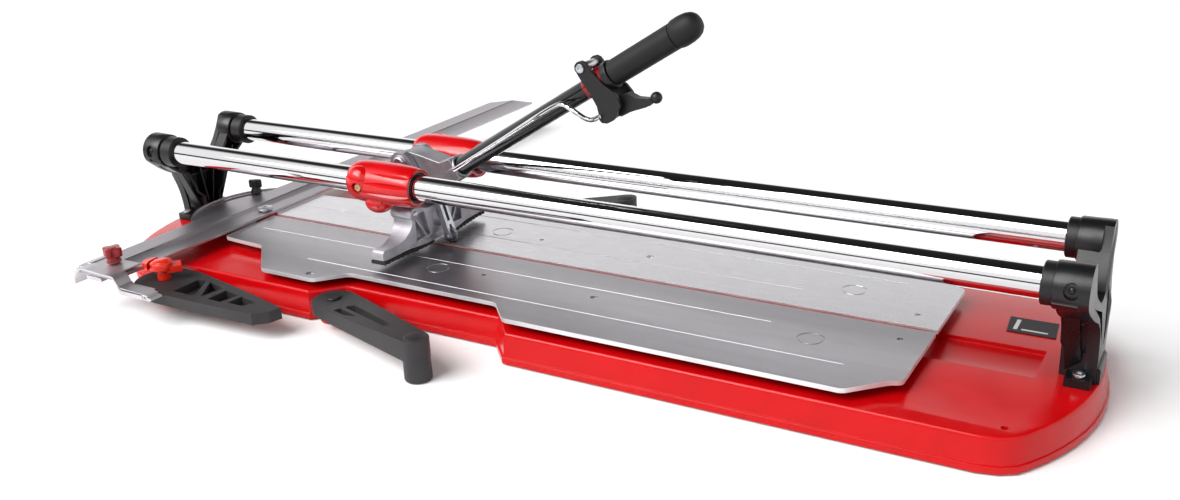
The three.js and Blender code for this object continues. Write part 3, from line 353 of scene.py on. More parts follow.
ground_aluminium = surface(
    # Rolled plate, ground lengthways and lightly etched: a soft satin with faint drawing.
    "ground_aluminium", "#d2d0d3", "#dedce0", 1.0, 0.26, 0.36, 1.4, 0.006, stretch=(9, 1, 1)
)
shaded_aluminium = surface(
    # The front plate: the same ground plate, a touch rougher, in a darker grey that is painted shade, as it
    # lies in less light than the rear plate.
    "shaded_aluminium", "#a09ea1", "#b2afb3", 1.0, 0.28, 0.4, 1.4, 0.008, stretch=(9, 1, 1)
)
bright_cut_edge = surface(
    # The same plate where a cutter has just passed: almost white, with a broad soft shine.
    "bright_cut_edge", "#e4e4e6", "#eeeef0", 1.0, 0.5, 0.62, 1.0, 0.01
)
# Half widths of the plate at its two ends, and the gap that it keeps from the recess.
LEFT_HALF, RIGHT_HALF = 92, 118
NOTCH_GAP = 3.5


def rounded(bm, edges, radius, steps):
    """Rounds the given edges of a shape."""
    bmesh.ops.bevel(
        bm,
        geom=edges,
        offset=radius,
        offset_type="OFFSET",
        segments=steps,
        profile=0.5,
        affect="EDGES",
        material=-1,
        clamp_overlap=True,
    )


for side, name in ((-1, "front_table"), (1, "rear_table")):
    low, high = cad(name)
    inner = min(abs(low.y), abs(high.y))
    wide = max(abs(low.y), abs(high.y))
    notch = notch_y - NOTCH_GAP
    plan = [
        (low.x, inner),
        (low.x, LEFT_HALF),
        (-378, LEFT_HALF + 5),
        (-320, wide),
        (NOTCH_LEFT - NOTCH_RAMP, wide),
        (NOTCH_LEFT, notch),
        (NOTCH_RIGHT, notch),
        (NOTCH_RIGHT + NOTCH_RAMP, wide),
        (403, wide),
        (437, wide - 34),
        (high.x, RIGHT_HALF),
        (high.x, inner),
    ]
    plate = slab([(x, side * y) for x, y in plan], low.z, high.z)
    upright = [e for e in plate.edges if abs(e.verts[0].co.z - e.verts[1].co.z) > 1]
    rounded(plate, [e for e in upright if abs(e.verts[0].co.y) > inner + 1], 5, 5)
    # Blind holes, two milled rings and two grooves.
    tools = [
        moved(post(r, high.z - 2.5, high.z + 2, sides=28), at(x, side * y, 0))
        for x, y, r in ((-253, 144, 5), (92, 67, 4.2), (-58, 63, 3), (420, 32, 3))
    ]
    for x, y in ((341, 68), (-120, 68)):
        ring = [(12.2, -0.5), (14, -0.5), (14, 2), (12.2, 2), (12.2, -0.5)]
        tools.append(moved(turned(ring, 36), at(x, side * y, high.z)))
    for x0, x1, y in ((-425, 290, 46), (-290, 388, 108)):
        edges = sorted((side * y, side * (y + 1.1)))
        tools.append(block(x0, x1, *edges, high.z - 0.35, high.z + 1))
    plate = cut(plate, "DIFFERENCE", *tools)
    # The front plate takes the darker grey of painted shade; the rear plate keeps the plain ground finish.
    finish = shaded_aluminium if side < 0 else ground_aluminium
    obj = piece(name + "_plate", plate, name, finish, [name], 0.45, 2)
    obj.data.materials.append(bright_cut_edge)
    for polygon in obj.data.polygons:
        if abs(polygon.normal.z) < 0.3 and polygon.area > 6 * MM * MM:
            polygon.material_index = 1

# ---- Stands ----
# Two die-cast stands, cored out on the side towards the tables and finished in black. Each
# forks into two arms with a head that grips a rail, and a tongue hooks over the tray's end.

black_stand_paint = surface(
    # Black epoxy on a die casting: satin, with the casting's skin showing through at 1.2 mm.
    "black_stand_paint", "#0e0d0f", "#151417", 0.0, 0.26, 0.4, 1.2, 0.04, shine=0.4
)
low, high = cad("rear_rail")
RAIL_Y = (low.y + high.y) / 2
RAIL_Z = (low.z + high.z) / 2
HEAD_RADIUS = 22.5
LEG_INNER, PLATE_INNER, PLATE_OUTER, HOOK_OUTER = 566, 589, 600, 603
HEAD_INNER = 562
# The foot narrows towards the tables, so that the fence can swing past it.
FENCE_RELIEF = 0.6
FOOT_Z = TRAY_TOP + 0.3
# How much shorter each stand's heads are than its foot, reached between these two heights.
HEAD_SHORTER = {-1: 12, 1: 7}
SHORTER_FROM, SHORTER_OVER = 96, 28
# A shape made upright is laid along X or along Y.
ALONG_X = Matrix.Rotation(math.pi / 2, 4, "Y")
ALONG_Y = Matrix.Rotation(-math.pi / 2, 4, "X")


def curve(start, bend, end, steps=8):
    """Points along a quadratic curve, without its start."""
    points = []
    for i in range(1, steps + 1):
        t = i / steps
        near, between, far = (1 - t) ** 2, 2 * t * (1 - t), t * t
        points.append(tuple(near * a + between * b + far * c for a, b, c in zip(start, bend, end)))
    return points


def leg_outline(inset, head=HEAD_RADIUS):
    """Two arms that spread from a narrow foot and run round the heads."""
    foot = 24 - inset
    right = [(foot, FOOT_Z)]
    right += curve(right[-1], (foot, RAIL_Z - 66), (RAIL_Y - 24 - inset, RAIL_Z - 42))
    low = math.radians(-28)
    meet = (RAIL_Y + head * math.cos(low), RAIL_Z + head * math.sin(low))
    right += curve(right[-1], (RAIL_Y + 2, RAIL_Z - 29), meet)
    for i in range(1, 13):
        angle = low + math.radians(148) * i / 12
        right.append((RAIL_Y + head * math.cos(angle), RAIL_Z + head * math.sin(angle)))
    right += curve(right[-1], (RAIL_Y - 28, RAIL_Z - 18), (14, RAIL_Z - 32))
    right.append((0, RAIL_Z - 33.5))
    return right + [(-y, z) for y, z in reversed(right[:-1])]


def ball(radius, place, around=32, down=18):
    bm = bmesh.new()
    bmesh.ops.create_uvsphere(bm, u_segments=around, v_segments=down, radius=radius)
    return moved(bm, place)


def share(value):
    """A value held between 0 and 1."""
    return min(1, max(0, value))


for side, name in ((1, "right_stand"), (-1, "left_stand")):
    plate = across_x(leg_outline(0), PLATE_INNER, PLATE_OUTER)
    sunk = []
    for s in (1, -1):
        window = [(s * 44, 120), (s * 15, 106), (s * 3, 64), (s * 12, 74), (s * 30, 106)][::s]
        sunk.append(across_x(window, PLATE_OUTER - 5, PLATE_OUTER + 2))
    plate = cut(plate, "DIFFERENCE", *sunk)
    leg = across_x(leg_outline(2, HEAD_RADIUS - 3), LEG_INNER, PLATE_INNER + 1)
    inner_face = min(leg.faces, key=lambda f: f.calc_center_median().x)
    bmesh.ops.inset_region(leg, faces=[inner_face], thickness=3.6, depth=0, use_even_offset=True)
    bmesh.ops.inset_region(leg, faces=[inner_face], thickness=0.8, depth=-19, use_even_offset=True)
    for v in leg.verts:
        if v.co.x < LEG_INNER + 7 and v.co.z < RAIL_Z / 2:
            v.co.y *= FENCE_RELIEF
    hook = block(PLATE_OUTER - 3, HOOK_OUTER, -21, 21, 25, 52)
    level = [e for e in hook.edges if abs(e.verts[0].co.y - e.verts[1].co.y) > 1]
    high_outer = [e for e in level if e.verts[0].co.z > 40 and e.verts[0].co.x > PLATE_OUTER]
    rounded(hook, high_outer, 2.8, 4)
    toe = block(574, 597, -38, 38, FOOT_Z, TRAY_TOP + 9)
    ribs = [
        across_x([(y0, 40), (y0 + 2.4, 40), (y1 + 2.4, 124), (y1, 124)], 571, 586)
        for y0, y1 in ((-14, -52), (11.6, 49.6), (-2.4, -16), (0, 13.6))
    ]
    cross = across_x([(-34, 98), (34, 98), (34, 101), (-34, 101)], 573, 586)
    shapes = [plate, leg, hook, toe, cross] + ribs
    for y in (-RAIL_Y, RAIL_Y):
        mouth = [(0, HEAD_INNER), (19.6, HEAD_INNER), (21.4, HEAD_INNER + 0.6)]
        barrel = [(HEAD_RADIUS - 0.4, HEAD_INNER + 2.4), (HEAD_RADIUS - 0.2, PLATE_INNER - 6)]
        head = turned(mouth + barrel + [(HEAD_RADIUS, PLATE_INNER + 1), (0, PLATE_INNER + 1)], 56)
        head = moved(head, at(0, y, RAIL_Z) @ ALONG_X)
        out = 1 if y > 0 else -1
        face = y + out * HEAD_RADIUS
        dent = moved(post(8.0, -5, 5, 1.5, 36), at(582, face, RAIL_Z + 3) @ ALONG_Y)
        hollow = turned([(0, -22), (2.4, -20), (2.4, 20), (0, 22)], 20)
        hollow = moved(hollow, at(581, y + out * (HEAD_RADIUS - 1.8), RAIL_Z - 10) @ ALONG_X)
        shapes.append(cut(head, "DIFFERENCE", dent, hollow))
        shapes.append(ball(4.4, at(582, y + out * (HEAD_RADIUS - 6), RAIL_Z + 3), 20, 12))
    whole = together(*shapes)
    for v in whole.verts:
        drawn_in = HEAD_SHORTER[side] * share((v.co.z - SHORTER_FROM) / SHORTER_OVER)
        v.co.x -= drawn_in * max(0, v.co.x - 557) / 43
    if side < 0:
        whole = moved(whole, Matrix.Rotation(math.pi, 4, "Z"))
    piece(name + "_casting", whole, "root", black_stand_paint, [name], 1.1, 3)

zinc_plate = surface(
    # Bright zinc on steel: pale, slightly blue, with a soft blurred shine.
    "zinc_plate", "#b9bbc0", "#c6c8cc", 1.0, 0.26, 0.38, 1.0, 0.01
)


def hexagon(radius):
    return [(radius * math.cos(a * math.pi / 3), radius * math.sin(a * math.pi / 3)) for a in range(6)]


for n in (1, 2, 3, 4):
    low, high = cad(f"stand_screw_{n}")
    socket = slab(hexagon(2.9), high.z - 2, high.z + 1)
    screw = cut(post(5.5, high.z - 4, high.z, 0.8), "DIFFERENCE", socket)
    screw = together(screw, post(3.4, low.z, high.z - 4))
    screw = moved(screw, middle(f"stand_screw_{n}"))
    piece(f"socket_screw_{n}", screw, "root", zinc_plate, [f"stand_screw_{n}"])

# ---- Rails ----
# Two 30 mm hard-chromed precision tubes, with a moulded sleeve at each end where they enter
# the heads.

hard_chrome = surface(
    # Ground and hard-chromed steel: a near mirror, with no more than a faint lengthways haze.
    "hard_chrome", "#d2d1d3", "#dad9db", 1.0, 0.035, 0.07, 2.0, 0.002, stretch=(12, 1, 1)
)
moulded_sleeve = surface(
    # Black nylon from a spark-finished mould: a soft satin black.
    "moulded_sleeve", "#0b0a0c", "#121114", 0.0, 0.36, 0.5, 1.2, 0.03, shine=0.4
)
for name in ("front_rail", "rear_rail"):
    low, high = cad(name)
    wall = [(11, low.x), (14.4, low.x), (15, low.x + 0.8), (15, high.x - 0.8), (14.4, high.x)]
    tube = turned(wall + [(11, high.x), (11, low.x)], 96)
    tube = moved(tube, at(0, (low.y + high.y) / 2, RAIL_Z) @ ALONG_X)
    piece(name + "_tube", tube, "root", hard_chrome, [name])
for name in ("front_left_sleeve", "front_right_sleeve", "rear_left_sleeve", "rear_right_sleeve"):
    low, high = cad(name)
    inner, outer = (-541, -558) if "left" in name else (551.5, 563)
    lip = 0.8 if outer > inner else -0.8
    section = [(15.3, inner), (19.2, inner), (20, inner + lip), (20, outer), (15.3, outer), (15.3, inner)]
    sleeve = moved(turned(section, 56), at(0, (low.y + high.y) / 2, RAIL_Z) @ ALONG_X)
    piece(name + "_ring", sleeve, "root", moulded_sleeve, [name])

# ---- Fence and protractor ----
# An extruded aluminium bar with a raised back edge and a slightly dished face, screwed to a
# stamped half disc with a curved slot for the clamp knob.

extruded_aluminium = surface(
    # Extruded and satin anodised: fine die lines along the bar, darker and softer than the tables.
    "extruded_aluminium", "#b2adb2", "#bcb7bc", 1.0, 0.36, 0.46, 1.0, 0.015, stretch=(1, 12, 1)
)


def across_y(points, y0, y1):
    """An outline of (x, z), carried along Y."""
    return moved(slab(points, y0, y1), Matrix(((1, 0, 0, 0), (0, 0, 1, 0), (0, 1, 0, 0), (0, 0, 0, 1))))


low, high = cad("fence_bar")
FENCE_TOP = high.z
bar_section = [
    (low.x, low.z),
    (high.x, low.z),
    (high.x, FENCE_TOP - 0.8),
    (high.x - 3, FENCE_TOP - 0.8),
    (high.x - 4, FENCE_TOP - 1.6),
    (high.x - 38, FENCE_TOP - 0.9),
    (high.x - 39.5, FENCE_TOP),
    (low.x, FENCE_TOP),
]
bar = across_y(bar_section, low.y, high.y)
pin_hole = moved(post(6.3, low.z - 2, FENCE_TOP + 2), at(-466, 0, 0))
corner = [(low.x - 1, high.y - 34), (low.x + 34, high.y + 1), (low.x - 1, high.y + 1)]
bar = cut(bar, "DIFFERENCE", pin_hole, slab(corner, low.z - 2, FENCE_TOP + 2))
piece("fence_extrusion", bar, "fence", extruded_aluminium, ["fence_bar"], 0.35)

disc_low, disc_high = cad("protractor")
PIVOT_X = -466
DISC_RADIUS = PIVOT_X - disc_low.x
edge_x = disc_high.x
reach = math.acos((PIVOT_X - edge_x) / DISC_RADIUS)


def arc_points(radius, start, end, steps):
    """An arc round the fence's pivot, in plan."""
    angles = [start + (end - start) * i / steps for i in range(steps + 1)]
    return [(PIVOT_X + radius * math.cos(a), radius * math.sin(a)) for a in angles]


disc = slab(arc_points(DISC_RADIUS, math.pi - reach, math.pi + reach, 40), disc_low.z, disc_high.z - 1.4)
rim = slab(
    arc_points(DISC_RADIUS, math.pi - reach, math.pi + reach, 40)
    + arc_points(DISC_RADIUS - 2.2, math.pi + reach * 0.99, math.pi - reach * 0.99, 40),
    disc_low.z + 1,
    disc_high.z,
)
slot_start, slot_end = math.radians(140), math.radians(191)
slot = arc_points(88, slot_start, slot_end, 20) + arc_points(80, slot_end, slot_start, 20)
disc = cut(disc, "DIFFERENCE", slab(slot, disc_low.z - 2, disc_high.z + 2))
disc = together(disc, rim)
piece("protractor_plate", disc, "fence", extruded_aluminium, ["protractor"], 0.3)
black_scale_ink = surface(
    # Black ink rolled into the scale's lines.
    "black_scale_ink", "#1c1c1e", "#242426", 0.0, 0.4, 0.5, 1.0, 0.005
)
ticks = []
for step in range(-9, 10):
    angle = math.pi + math.radians(5 * step)
    length = 7 if step % 3 == 0 else 4
    radius = DISC_RADIUS - 3.4
    if abs(radius * math.cos(angle)) < PIVOT_X - edge_x + 2:
        continue
    line = block(radius - length, radius, -0.35, 0.35, disc_high.z - 1.4, disc_high.z - 1.25)
    ticks.append(moved(line, at(PIVOT_X, 0, 0) @ Matrix.Rotation(angle, 4, "Z")))
piece("protractor_scale", together(*ticks), "fence", black_scale_ink)

low, high = cad("fence_pivot_pin")
head = post(10, high.z - 3.2, high.z, 1.0)
head = cut(head, "DIFFERENCE", slab(hexagon(3.2), high.z - 1.6, high.z + 1))
pin = moved(together(post(5.9, low.z, high.z - 3, 0.4), head), at(PIVOT_X, 0, 0))
piece("fence_pivot", pin, "root", zinc_plate, ["fence_pivot_pin"])

# ---- Clamp knob of the protractor ----
# Black nylon wing knob moulded on a steel stud.

low, high = cad("angle_knob")
skirt = [(0, 0.3), (7.6, 0.3), (8.2, 1.2), (7, 5), (5, 9), (5.4, 13)]
skirt = [(radius, FENCE_TOP + up) for radius, up in skirt]
hub = turned(skirt + [(5, high.z - 1), (0, high.z - 1)], 40)
knob = together(post(3, low.z, FENCE_TOP + 2), hub)
wings = slab([(-9, -2.6), (9, -2.6), (9, 2.6), (-9, 2.6)], FENCE_TOP + 8, high.z)
rounded(wings, list(wings.edges), 2.2, 4)
knob = moved(together(knob, wings), middle("angle_knob") @ Matrix.Rotation(0.5, 4, "Z"))
piece("clamp_wing_knob", knob, "angle_knob", moulded_sleeve, ["angle_knob"])

# ---- Extending stop ----
# A second extrusion that rides on the fence and slides out along it. Its near end is cut
# square, so the thin walls show: a skirt curls down at the left, and the right side steps
# down to a box that holds a black rubber strip and a square nut.

low, high = cad("extending_stop")
fence_low, fence_high = cad("fence_bar")
front, back = low.y, low.y + 46
right = fence_high.x
stop_top = high.z
left = low.x
skirt = [(left, 37), (left, 39), (left + 1.4, 46), (left + 5, 53), (left + 11, 58.2), (left + 18, stop_top)]
top_line = skirt + [(left + 30, stop_top - 0.2), (right - 14, stop_top - 1.4)]
top_line += [(right - 2, stop_top - 1.2), (right + 2, stop_top - 3)]
step_line = [(right + 5, 53), (right + 8.5, 47), (right + 13, 44.6), (high.x - 15, 44.2)]
STOP_WALL = 2.2
step_under = [(high.x - 15.6, 42.4), (right + 13.4, 42.6), (right + 6.4, 46)]
top_under = [(x - 1.4, z - STOP_WALL) for x, z in reversed(top_line[5:])]
skirt_under = [(left + 12.4, 55.6), (left + 7.4, 51), (left + 4, 45), (left + 2.8, 37.4)]
shell = across_y(top_line + step_line + step_under + top_under + skirt_under, front, front + 20)
box_section = [(right + 6.4, 46.2), (right + 9, 37.2), (high.x - 4, 37.0), (high.x, 38.6), (high.x - 1.4, 41)]
box_section += [(high.x - 6.4, 41.2), (high.x - 6.4, 43.6), (high.x - 14, 44.4)]
box_slot = [(right + 12.2, 43.2), (right + 12.6, 38.6), (high.x - 17, 38.4), (high.x - 17, 42.8)]
box_slot = across_y(box_slot, front - 1, front + 17)
nut_slot = block(high.x - 15, high.x - 8, front - 1, front + 17, 38.4, 42.4)
box = cut(across_y(box_section, front, front + 16), "DIFFERENCE", box_slot, nut_slot)
under = block(left + 3, right - 4, fence_low.y + 4, back, FENCE_TOP + 0.4, stop_top - 1.4)
seat = FENCE_TOP + 0.4
ridge = [(left + 3, seat), (left + 3, stop_top - 1.8), (left + 9, stop_top - 0.4), (left + 13, stop_top - 0.4)]
ridge = across_y(ridge + [(left + 16, seat)], front + 18, back)
tongue = block(low.x + 24, low.x + 50, front + 2, high.y, 46.8, 51.1)
groove = block(low.x + 35, low.x + 39, front + 20, high.y + 1, 49.6, 52)
tongue = cut(tongue, "DIFFERENCE", groove)
bright_aluminium = surface(
    # The extrusion's cut end and skin: pale, with a fine saw grain that takes a broad highlight.
    "bright_aluminium", "#d4d2d6", "#dedce0", 1.0, 0.42, 0.54, 1.0, 0.02, stretch=(1, 8, 1)
)
stop = together(shell, box, under, ridge, tongue)
piece("stop_extrusion", stop, "stop", bright_aluminium, ["extending_stop"], 0.35)
strip = block(right + 12.8, high.x - 17.3, front + 0.2, front + 15, 38.8, 43.0)
piece("stop_rubber_strip", strip, "stop", moulded_rubber, ["stop_rubber"], 0.3)
nut = block(high.x - 14.6, high.x - 8.4, front + 0.3, front + 6, 38.7, 42.1)
nut_bore = moved(post(1.1, front - 2, front + 4, sides=20), at(high.x - 11.4, 0, 40.4) @ ALONG_Y)
piece("square_nut", cut(nut, "DIFFERENCE", nut_bore), "stop", zinc_plate, (), 0.3)

red_abs = surface(
    # Red ABS from a polished mould: bright and even, with crisp small highlights.
    "red_abs", "#bc060c", "#c60a12", 0.0, 0.14, 0.22, 2.0, 0.01
)
deep_red_abs = surface(
    # The same plastic in a deeper batch, for the small knob and the bush behind the trigger.
    "deep_red_abs", "#7c0a14", "#8c0e18", 0.0, 0.2, 0.3, 2.0, 0.01
)


def star(radius, lobes, depth, low, high):
    """A lobed hand knob."""
    steps = lobes * 10
    points = []
    for i in range(steps):
        angle = i / steps * 2 * math.pi
        r = radius * (1 - depth + depth * math.cos(lobes * angle))
        points.append((r * math.cos(angle), r * math.sin(angle)))
    shape = slab(points, low, high)
    rounded(shape, [e for e in shape.edges if abs(e.verts[0].co.z - e.verts[1].co.z) < 0.01], 1.3, 3)
    return shape


low, high = cad("stop_knob")
neck = [(0, stop_top + 0.3), (8.4, stop_top + 0.3), (9, stop_top + 1.2)]
knob = together(
    star(12.6, 4, 0.16, high.z - 12, high.z - 0.8),
    turned(neck + [(7.6, stop_top + 5), (8.2, high.z - 10), (0, high.z - 10)], 40),
    post(3, low.z, stop_top + 2),
    turned([(0, high.z - 1.6), (5, high.z - 1.6), (4.4, high.z - 0.2), (0, high.z)], 32),
)
knob = moved(knob, middle("stop_knob") @ Matrix.Rotation(0.3, 4, "Z"))
piece("star_knob", knob, "stop_knob", deep_red_abs, ["stop_knob"])

# ---- Support arms ----
# Glass-filled nylon arms that swing out to carry the overhang of a large tile. The front and
# rear ones end in a post that stands on the floor, and the side arm is cored from above.

glass_filled_nylon = surface(
    # Moulded glass-filled nylon: a dry charcoal grey with a fine speckled skin.
    "glass_filled_nylon", "#272527", "#302e30", 0.0, 0.46, 0.6, 1.0, 0.05, shine=0.4
)
ARM_BOTTOM, ARM_TOP = 21, 35
ARM_LENGTH = 182


def half_round(x, radius, start, steps):
    """Half a circle in plan, anticlockwise from an angle."""
    angles = [start + i * math.pi / steps for i in range(steps + 1)]
    return [(x + radius * math.cos(a), radius * math.sin(a)) for a in angles]


for side, name, swing in ((-1, "front_arm", -21), (1, "rear_arm", -31)):
    hub = half_round(0, 26, math.pi / 2, 16)
    tip = half_round(ARM_LENGTH, 15, -math.pi / 2, 12)
    arm = slab(hub + [(32, -25)] + tip + [(32, 25)], ARM_BOTTOM, ARM_TOP)
    for v in arm.verts:
        rise = max(0.0, v.co.x) / ARM_LENGTH
        v.co.z += (13 if v.co.z > 30 else 3) * rise
    slots = [
        slab([(36, -2), (40, 5.5), (124, 3), (128, -0.5), (126, -5), (40, -5)], ARM_BOTTOM - 2, 60),
        slab([(36, -19), (36, -10), (74, -10.5), (60, -18)], ARM_BOTTOM - 2, 60),
        post(5.3, ARM_BOTTOM - 2, 60),
    ]
    arm = cut(arm, "DIFFERENCE", *slots)
    post_foot = [(0, 0), (13.4, 0), (14.6, 0.8), (15, 2.4)]
    post_head = [(14.2, 42), (13.6, 46), (11.8, 48.6), (9, 49.9), (0, 50.4)]
    floor_post = moved(turned(post_foot + post_head), at(ARM_LENGTH, 0, 0))
    whole = moved(together(arm, floor_post), Matrix.Rotation(math.radians(swing), 4, "Z"))
    if side > 0:
        whole = moved(whole, Matrix.Scale(-1, 4, (0, 1, 0)))
    whole = moved(whole, at(-200, side * 164, 0))
    piece(name + "_moulding", whole, name, glass_filled_nylon, [name], 1.2, 3)

arm_x, arm_y = -436, -205
blade = [(90, -36), (178, -33), (192, -20), (196, -4), (110, 17), (40, 32), (20, 36)]
side_arm = slab(half_round(0, 36, math.pi / 2, 20) + blade, ARM_BOTTOM, ARM_TOP)
pockets = [
    slab(points, ARM_BOTTOM + 4, ARM_TOP + 2)
    for points in (
        [(40, -22), (40, 16), (52, 18), (76, -22)],
        [(60, 17), (82, 12), (90, 8), (84, -20)],
        [(98, -22), (98, 6), (124, 1), (118, -22)],
        [(128, -20), (130, 0), (158, -6), (152, -20)],
    )
]
side_arm = cut(side_arm, "DIFFERENCE", *pockets, post(5.3, ARM_BOTTOM - 2, ARM_TOP + 2))
side_arm = moved(side_arm, at(arm_x, arm_y, 0))
piece("side_arm_moulding", side_arm, "side_arm", glass_filled_nylon, ["side_arm"], 1.0, 3)

orange_red_abs = surface(
    # A brighter, more orange red for the catch, from the same polished mould.
    "orange_red_abs", "#d0220e", "#da2812", 0.0, 0.16, 0.24, 2.0, 0.01
)
low, high = cad("side_arm_knob")
barrel = [(0, 0.2), (8, 0.2), (8.4, 1), (7.8, 12), (9, 13), (0, 13)]
thumb = [(-13, -13), (-22, -8), (-25, 2), (-21, 10), (-12, 13), (-15, 5), (-16, -3)]
cap = together(
    turned([(radius, low.z + up) for radius, up in barrel], 40),
    star(14.4, 3, 0.06, high.z - 12.5, high.z - 2.5),
    turned([(0, high.z - 3), (11, high.z - 3), (10, high.z - 1.2), (6.5, high.z - 0.3), (0, high.z)], 40),
    moved(block(4, 22, -12, 8, high.z - 15, high.z - 7), Matrix.Rotation(math.radians(52), 4, "Z")),
    moved(slab(thumb, high.z - 11, high.z - 2), Matrix.Rotation(math.radians(20), 4, "Z")),
)
cap = moved(cap, at(arm_x, arm_y, 0))
piece("side_arm_catch", cap, "side_arm_knob", orange_red_abs, ["side_arm_knob"], 1.2, 3)
blacked_steel = surface(
    # Oil-blacked steel: nearly as dark as the arm it holds, with a dull metallic rim.
    "blacked_steel", "#2b2a2c", "#343335", 1.0, 0.4, 0.52, 1.0, 0.01
)
for name in ("front_arm_pin", "rear_arm_pin", "side_arm_pin"):
    low, high = cad(name)
    shank = post(4.9, low.z, high.z - 0.5, 0.5)
    if name != "side_arm_pin":
        dome = [(0, 1.4), (8.6, 1.4), (9, 2), (8, 3.4), (0, 4)]
        shank = together(shank, turned([(radius, ARM_TOP + up) for radius, up in dome], 40))
    piece(name.replace("pin", "bolt"), moved(shank, middle(name)), "root", blacked_steel, [name])

# ---- Carriage ----
# A die-cast aluminium bridge with a bearing housing on each rail, under red moulded covers.
# Two ears on the bridge carry the handle's pivot.

die_cast_aluminium = surface(
    # Raw pressure die casting, tumbled: pale grey with a cloudy, slightly pitted skin.
    "die_cast_aluminium", "#8f8e93", "#b4b2b7", 0.85, 0.36, 0.52, 1.6, 0.12
)
low, high = cad("carriage_body")
HOUSING_LEFT, HOUSING_RIGHT = low.x, high.x
PIVOT = Vector((-199, 0, 160))
deck = [(-229, 127), (-225, 139), (-214, 142), (-176, 140), (-160, 137), (-159, 127), (-166, 125), (-222, 125)]
bridge = across_y(deck, -RAIL_Y, RAIL_Y)
recesses = [block(-222, -168, s * 34 - 12, s * 34 + 12, 134, 150) for s in (-1, 1)]
bridge = cut(bridge, "DIFFERENCE", *recesses)
ears = []
for y in (-24, 15):
    ear = [(-222, 130), (-165, 130), (-172, 142), (-186, 166), (-193, 172), (-205, 172)]
    ears.append(across_y(ear + [(-212, 167), (-217, 150)], y, y + 9))
    boss_y = y if y < 0 else y + 9
    ears.append(moved(post(9.5, boss_y - 1.6, boss_y + 1.6, 0.8), at(PIVOT.x, 0, PIVOT.z) @ ALONG_Y))
housings = []
for y in (-RAIL_Y, RAIL_Y):
    section = [(18.6, -234), (20.2, -234), (20.6, -233), (20.6, -143), (20.2, -142.4), (18.6, -142.4)]
    ring = turned(section + [(18.6, -234)], 56)
    housings.append(moved(ring, at(0, y, RAIL_Z) @ ALONG_X))
socket = block(-164, -140, -16, 16, 110, 131)
socket = cut(socket, "DIFFERENCE", block(-154.3, -145.7, -7.3, 7.3, 100, 128))
casting = together(bridge, socket, *ears, *housings)
piece("carriage_casting", casting, "carriage", die_cast_aluminium, ["carriage_body"], 0.9, 3)
yellow_zinc = surface(
    # Yellow-passivated zinc on the cover's screws: a brassy grey with a soft shine.
    "yellow_zinc", "#b9a078", "#c4ad86", 1.0, 0.3, 0.42, 1.0, 0.01
)
for name in ("front_bush", "rear_bush"):
    low, high = cad(name)
    start, end = low.x + 12, high.x - 1.5
    bush = turned([(15.4, start), (18.2, start), (18.2, end), (15.4, end), (15.4, start)], 56)
    bush = moved(bush, at(0, (low.y + high.y) / 2, RAIL_Z) @ ALONG_X)
    piece(name + "_liner", bush, "carriage", moulded_sleeve, [name])

low, high = cad("front_cover")
COVER_LEFT, COVER_RIGHT = low.x + 11, high.x - 2
for side, name in ((-1, "front_cover"), (1, "rear_cover")):
    nose = [(15.6, 1.5), (17.4, 0), (20.4, 1.4), (22.8, 4.6), (24.4, 10), (25.2, 18)]
    nose += [(25.6, 30), (25.6, 54), (25.2, 72)]
    tail = [(24.2, -10), (23, -3), (21.8, 0), (18.4, -0.5)]
    profile = [(r, COVER_LEFT + x) for r, x in nose] + [(r, COVER_RIGHT + x) for r, x in tail]
    shell = moved(turned(profile + profile[:1], 72), ALONG_X)
    droop = Matrix.Rotation(math.radians(-14), 4, "Y")
    lobe = ball(1, at(COVER_LEFT + 40, -7, -20) @ droop @ Matrix.Diagonal((21, 14, 15, 1)))
    brow = ball(1, at(COVER_LEFT + 20, -15, 5) @ Matrix.Diagonal((19, 14, 18, 1)))
    shell = cut(shell, "UNION", lobe, brow)
    bore = moved(post(15.8, COVER_LEFT - 5, COVER_RIGHT + 5, sides=64), ALONG_X)
    shell = cut(shell, "DIFFERENCE", bore)
    flutes = []
    for angle, start, wide in ((-42, 36, 6.0), (-14, 30, 6.4), (14, 34, 6.2), (46, 44, 5.4)):
        long = COVER_RIGHT - COVER_LEFT - start + 4
        flute = moved(turned([(0, 0), (wide * 0.55, 24), (wide, long), (0, long)], 4), ALONG_X)
        around = Matrix.Rotation(math.radians(angle), 4, "X")
        dive = Matrix.Rotation(math.radians(-1.4), 4, "Z")
        flutes.append(moved(flute, around @ at(COVER_LEFT + start, -25.7, 0) @ dive))
    facing_front = Matrix.Rotation(-math.pi / 2, 4, "X")
    screw_place = at(COVER_LEFT + 23, 0, -1) @ facing_front
    screw_well = turned([(0, -36), (7.6, -36), (6.2, -24), (5.8, -21.8), (0, -21.4)], 32)
    screw_well = moved(screw_well, screw_place)
    lobe_aim = at(COVER_LEFT + 46, 0, -25) @ Matrix.Rotation(math.radians(14), 4, "Z")
    lobe_well = moved(turned([(0, -40), (7, -40), (5, -18), (0, -17)], 32), lobe_aim @ facing_front)
    shell = cut(shell, "DIFFERENCE", *flutes)
    shell = cut(shell, "DIFFERENCE", screw_well, lobe_well)
    screw_head = [(0, -24.4), (1.6, -24.4), (1.9, -25.2), (4.2, -25.2), (4.8, -24.4), (4.8, -21), (0, -21)]
    screw = moved(turned(screw_head, 24), screw_place)
    if side > 0:
        shell = moved(shell, Matrix.Scale(-1, 4, (0, 1, 0)))
        screw = moved(screw, Matrix.Scale(-1, 4, (0, 1, 0)))
    place = at(0, side * RAIL_Y, RAIL_Z)
    piece(name + "_shell", moved(shell, place), "carriage", red_abs, [name], 0.7, 2, 32)
    piece(name + "_screw", moved(screw, place), "carriage", yellow_zinc)

# ---- Breaker foot ----
# A second casting that hangs under the bridge and presses on both sides of the scored line,
# through two rubber pads. Its legs taper to small square toes.

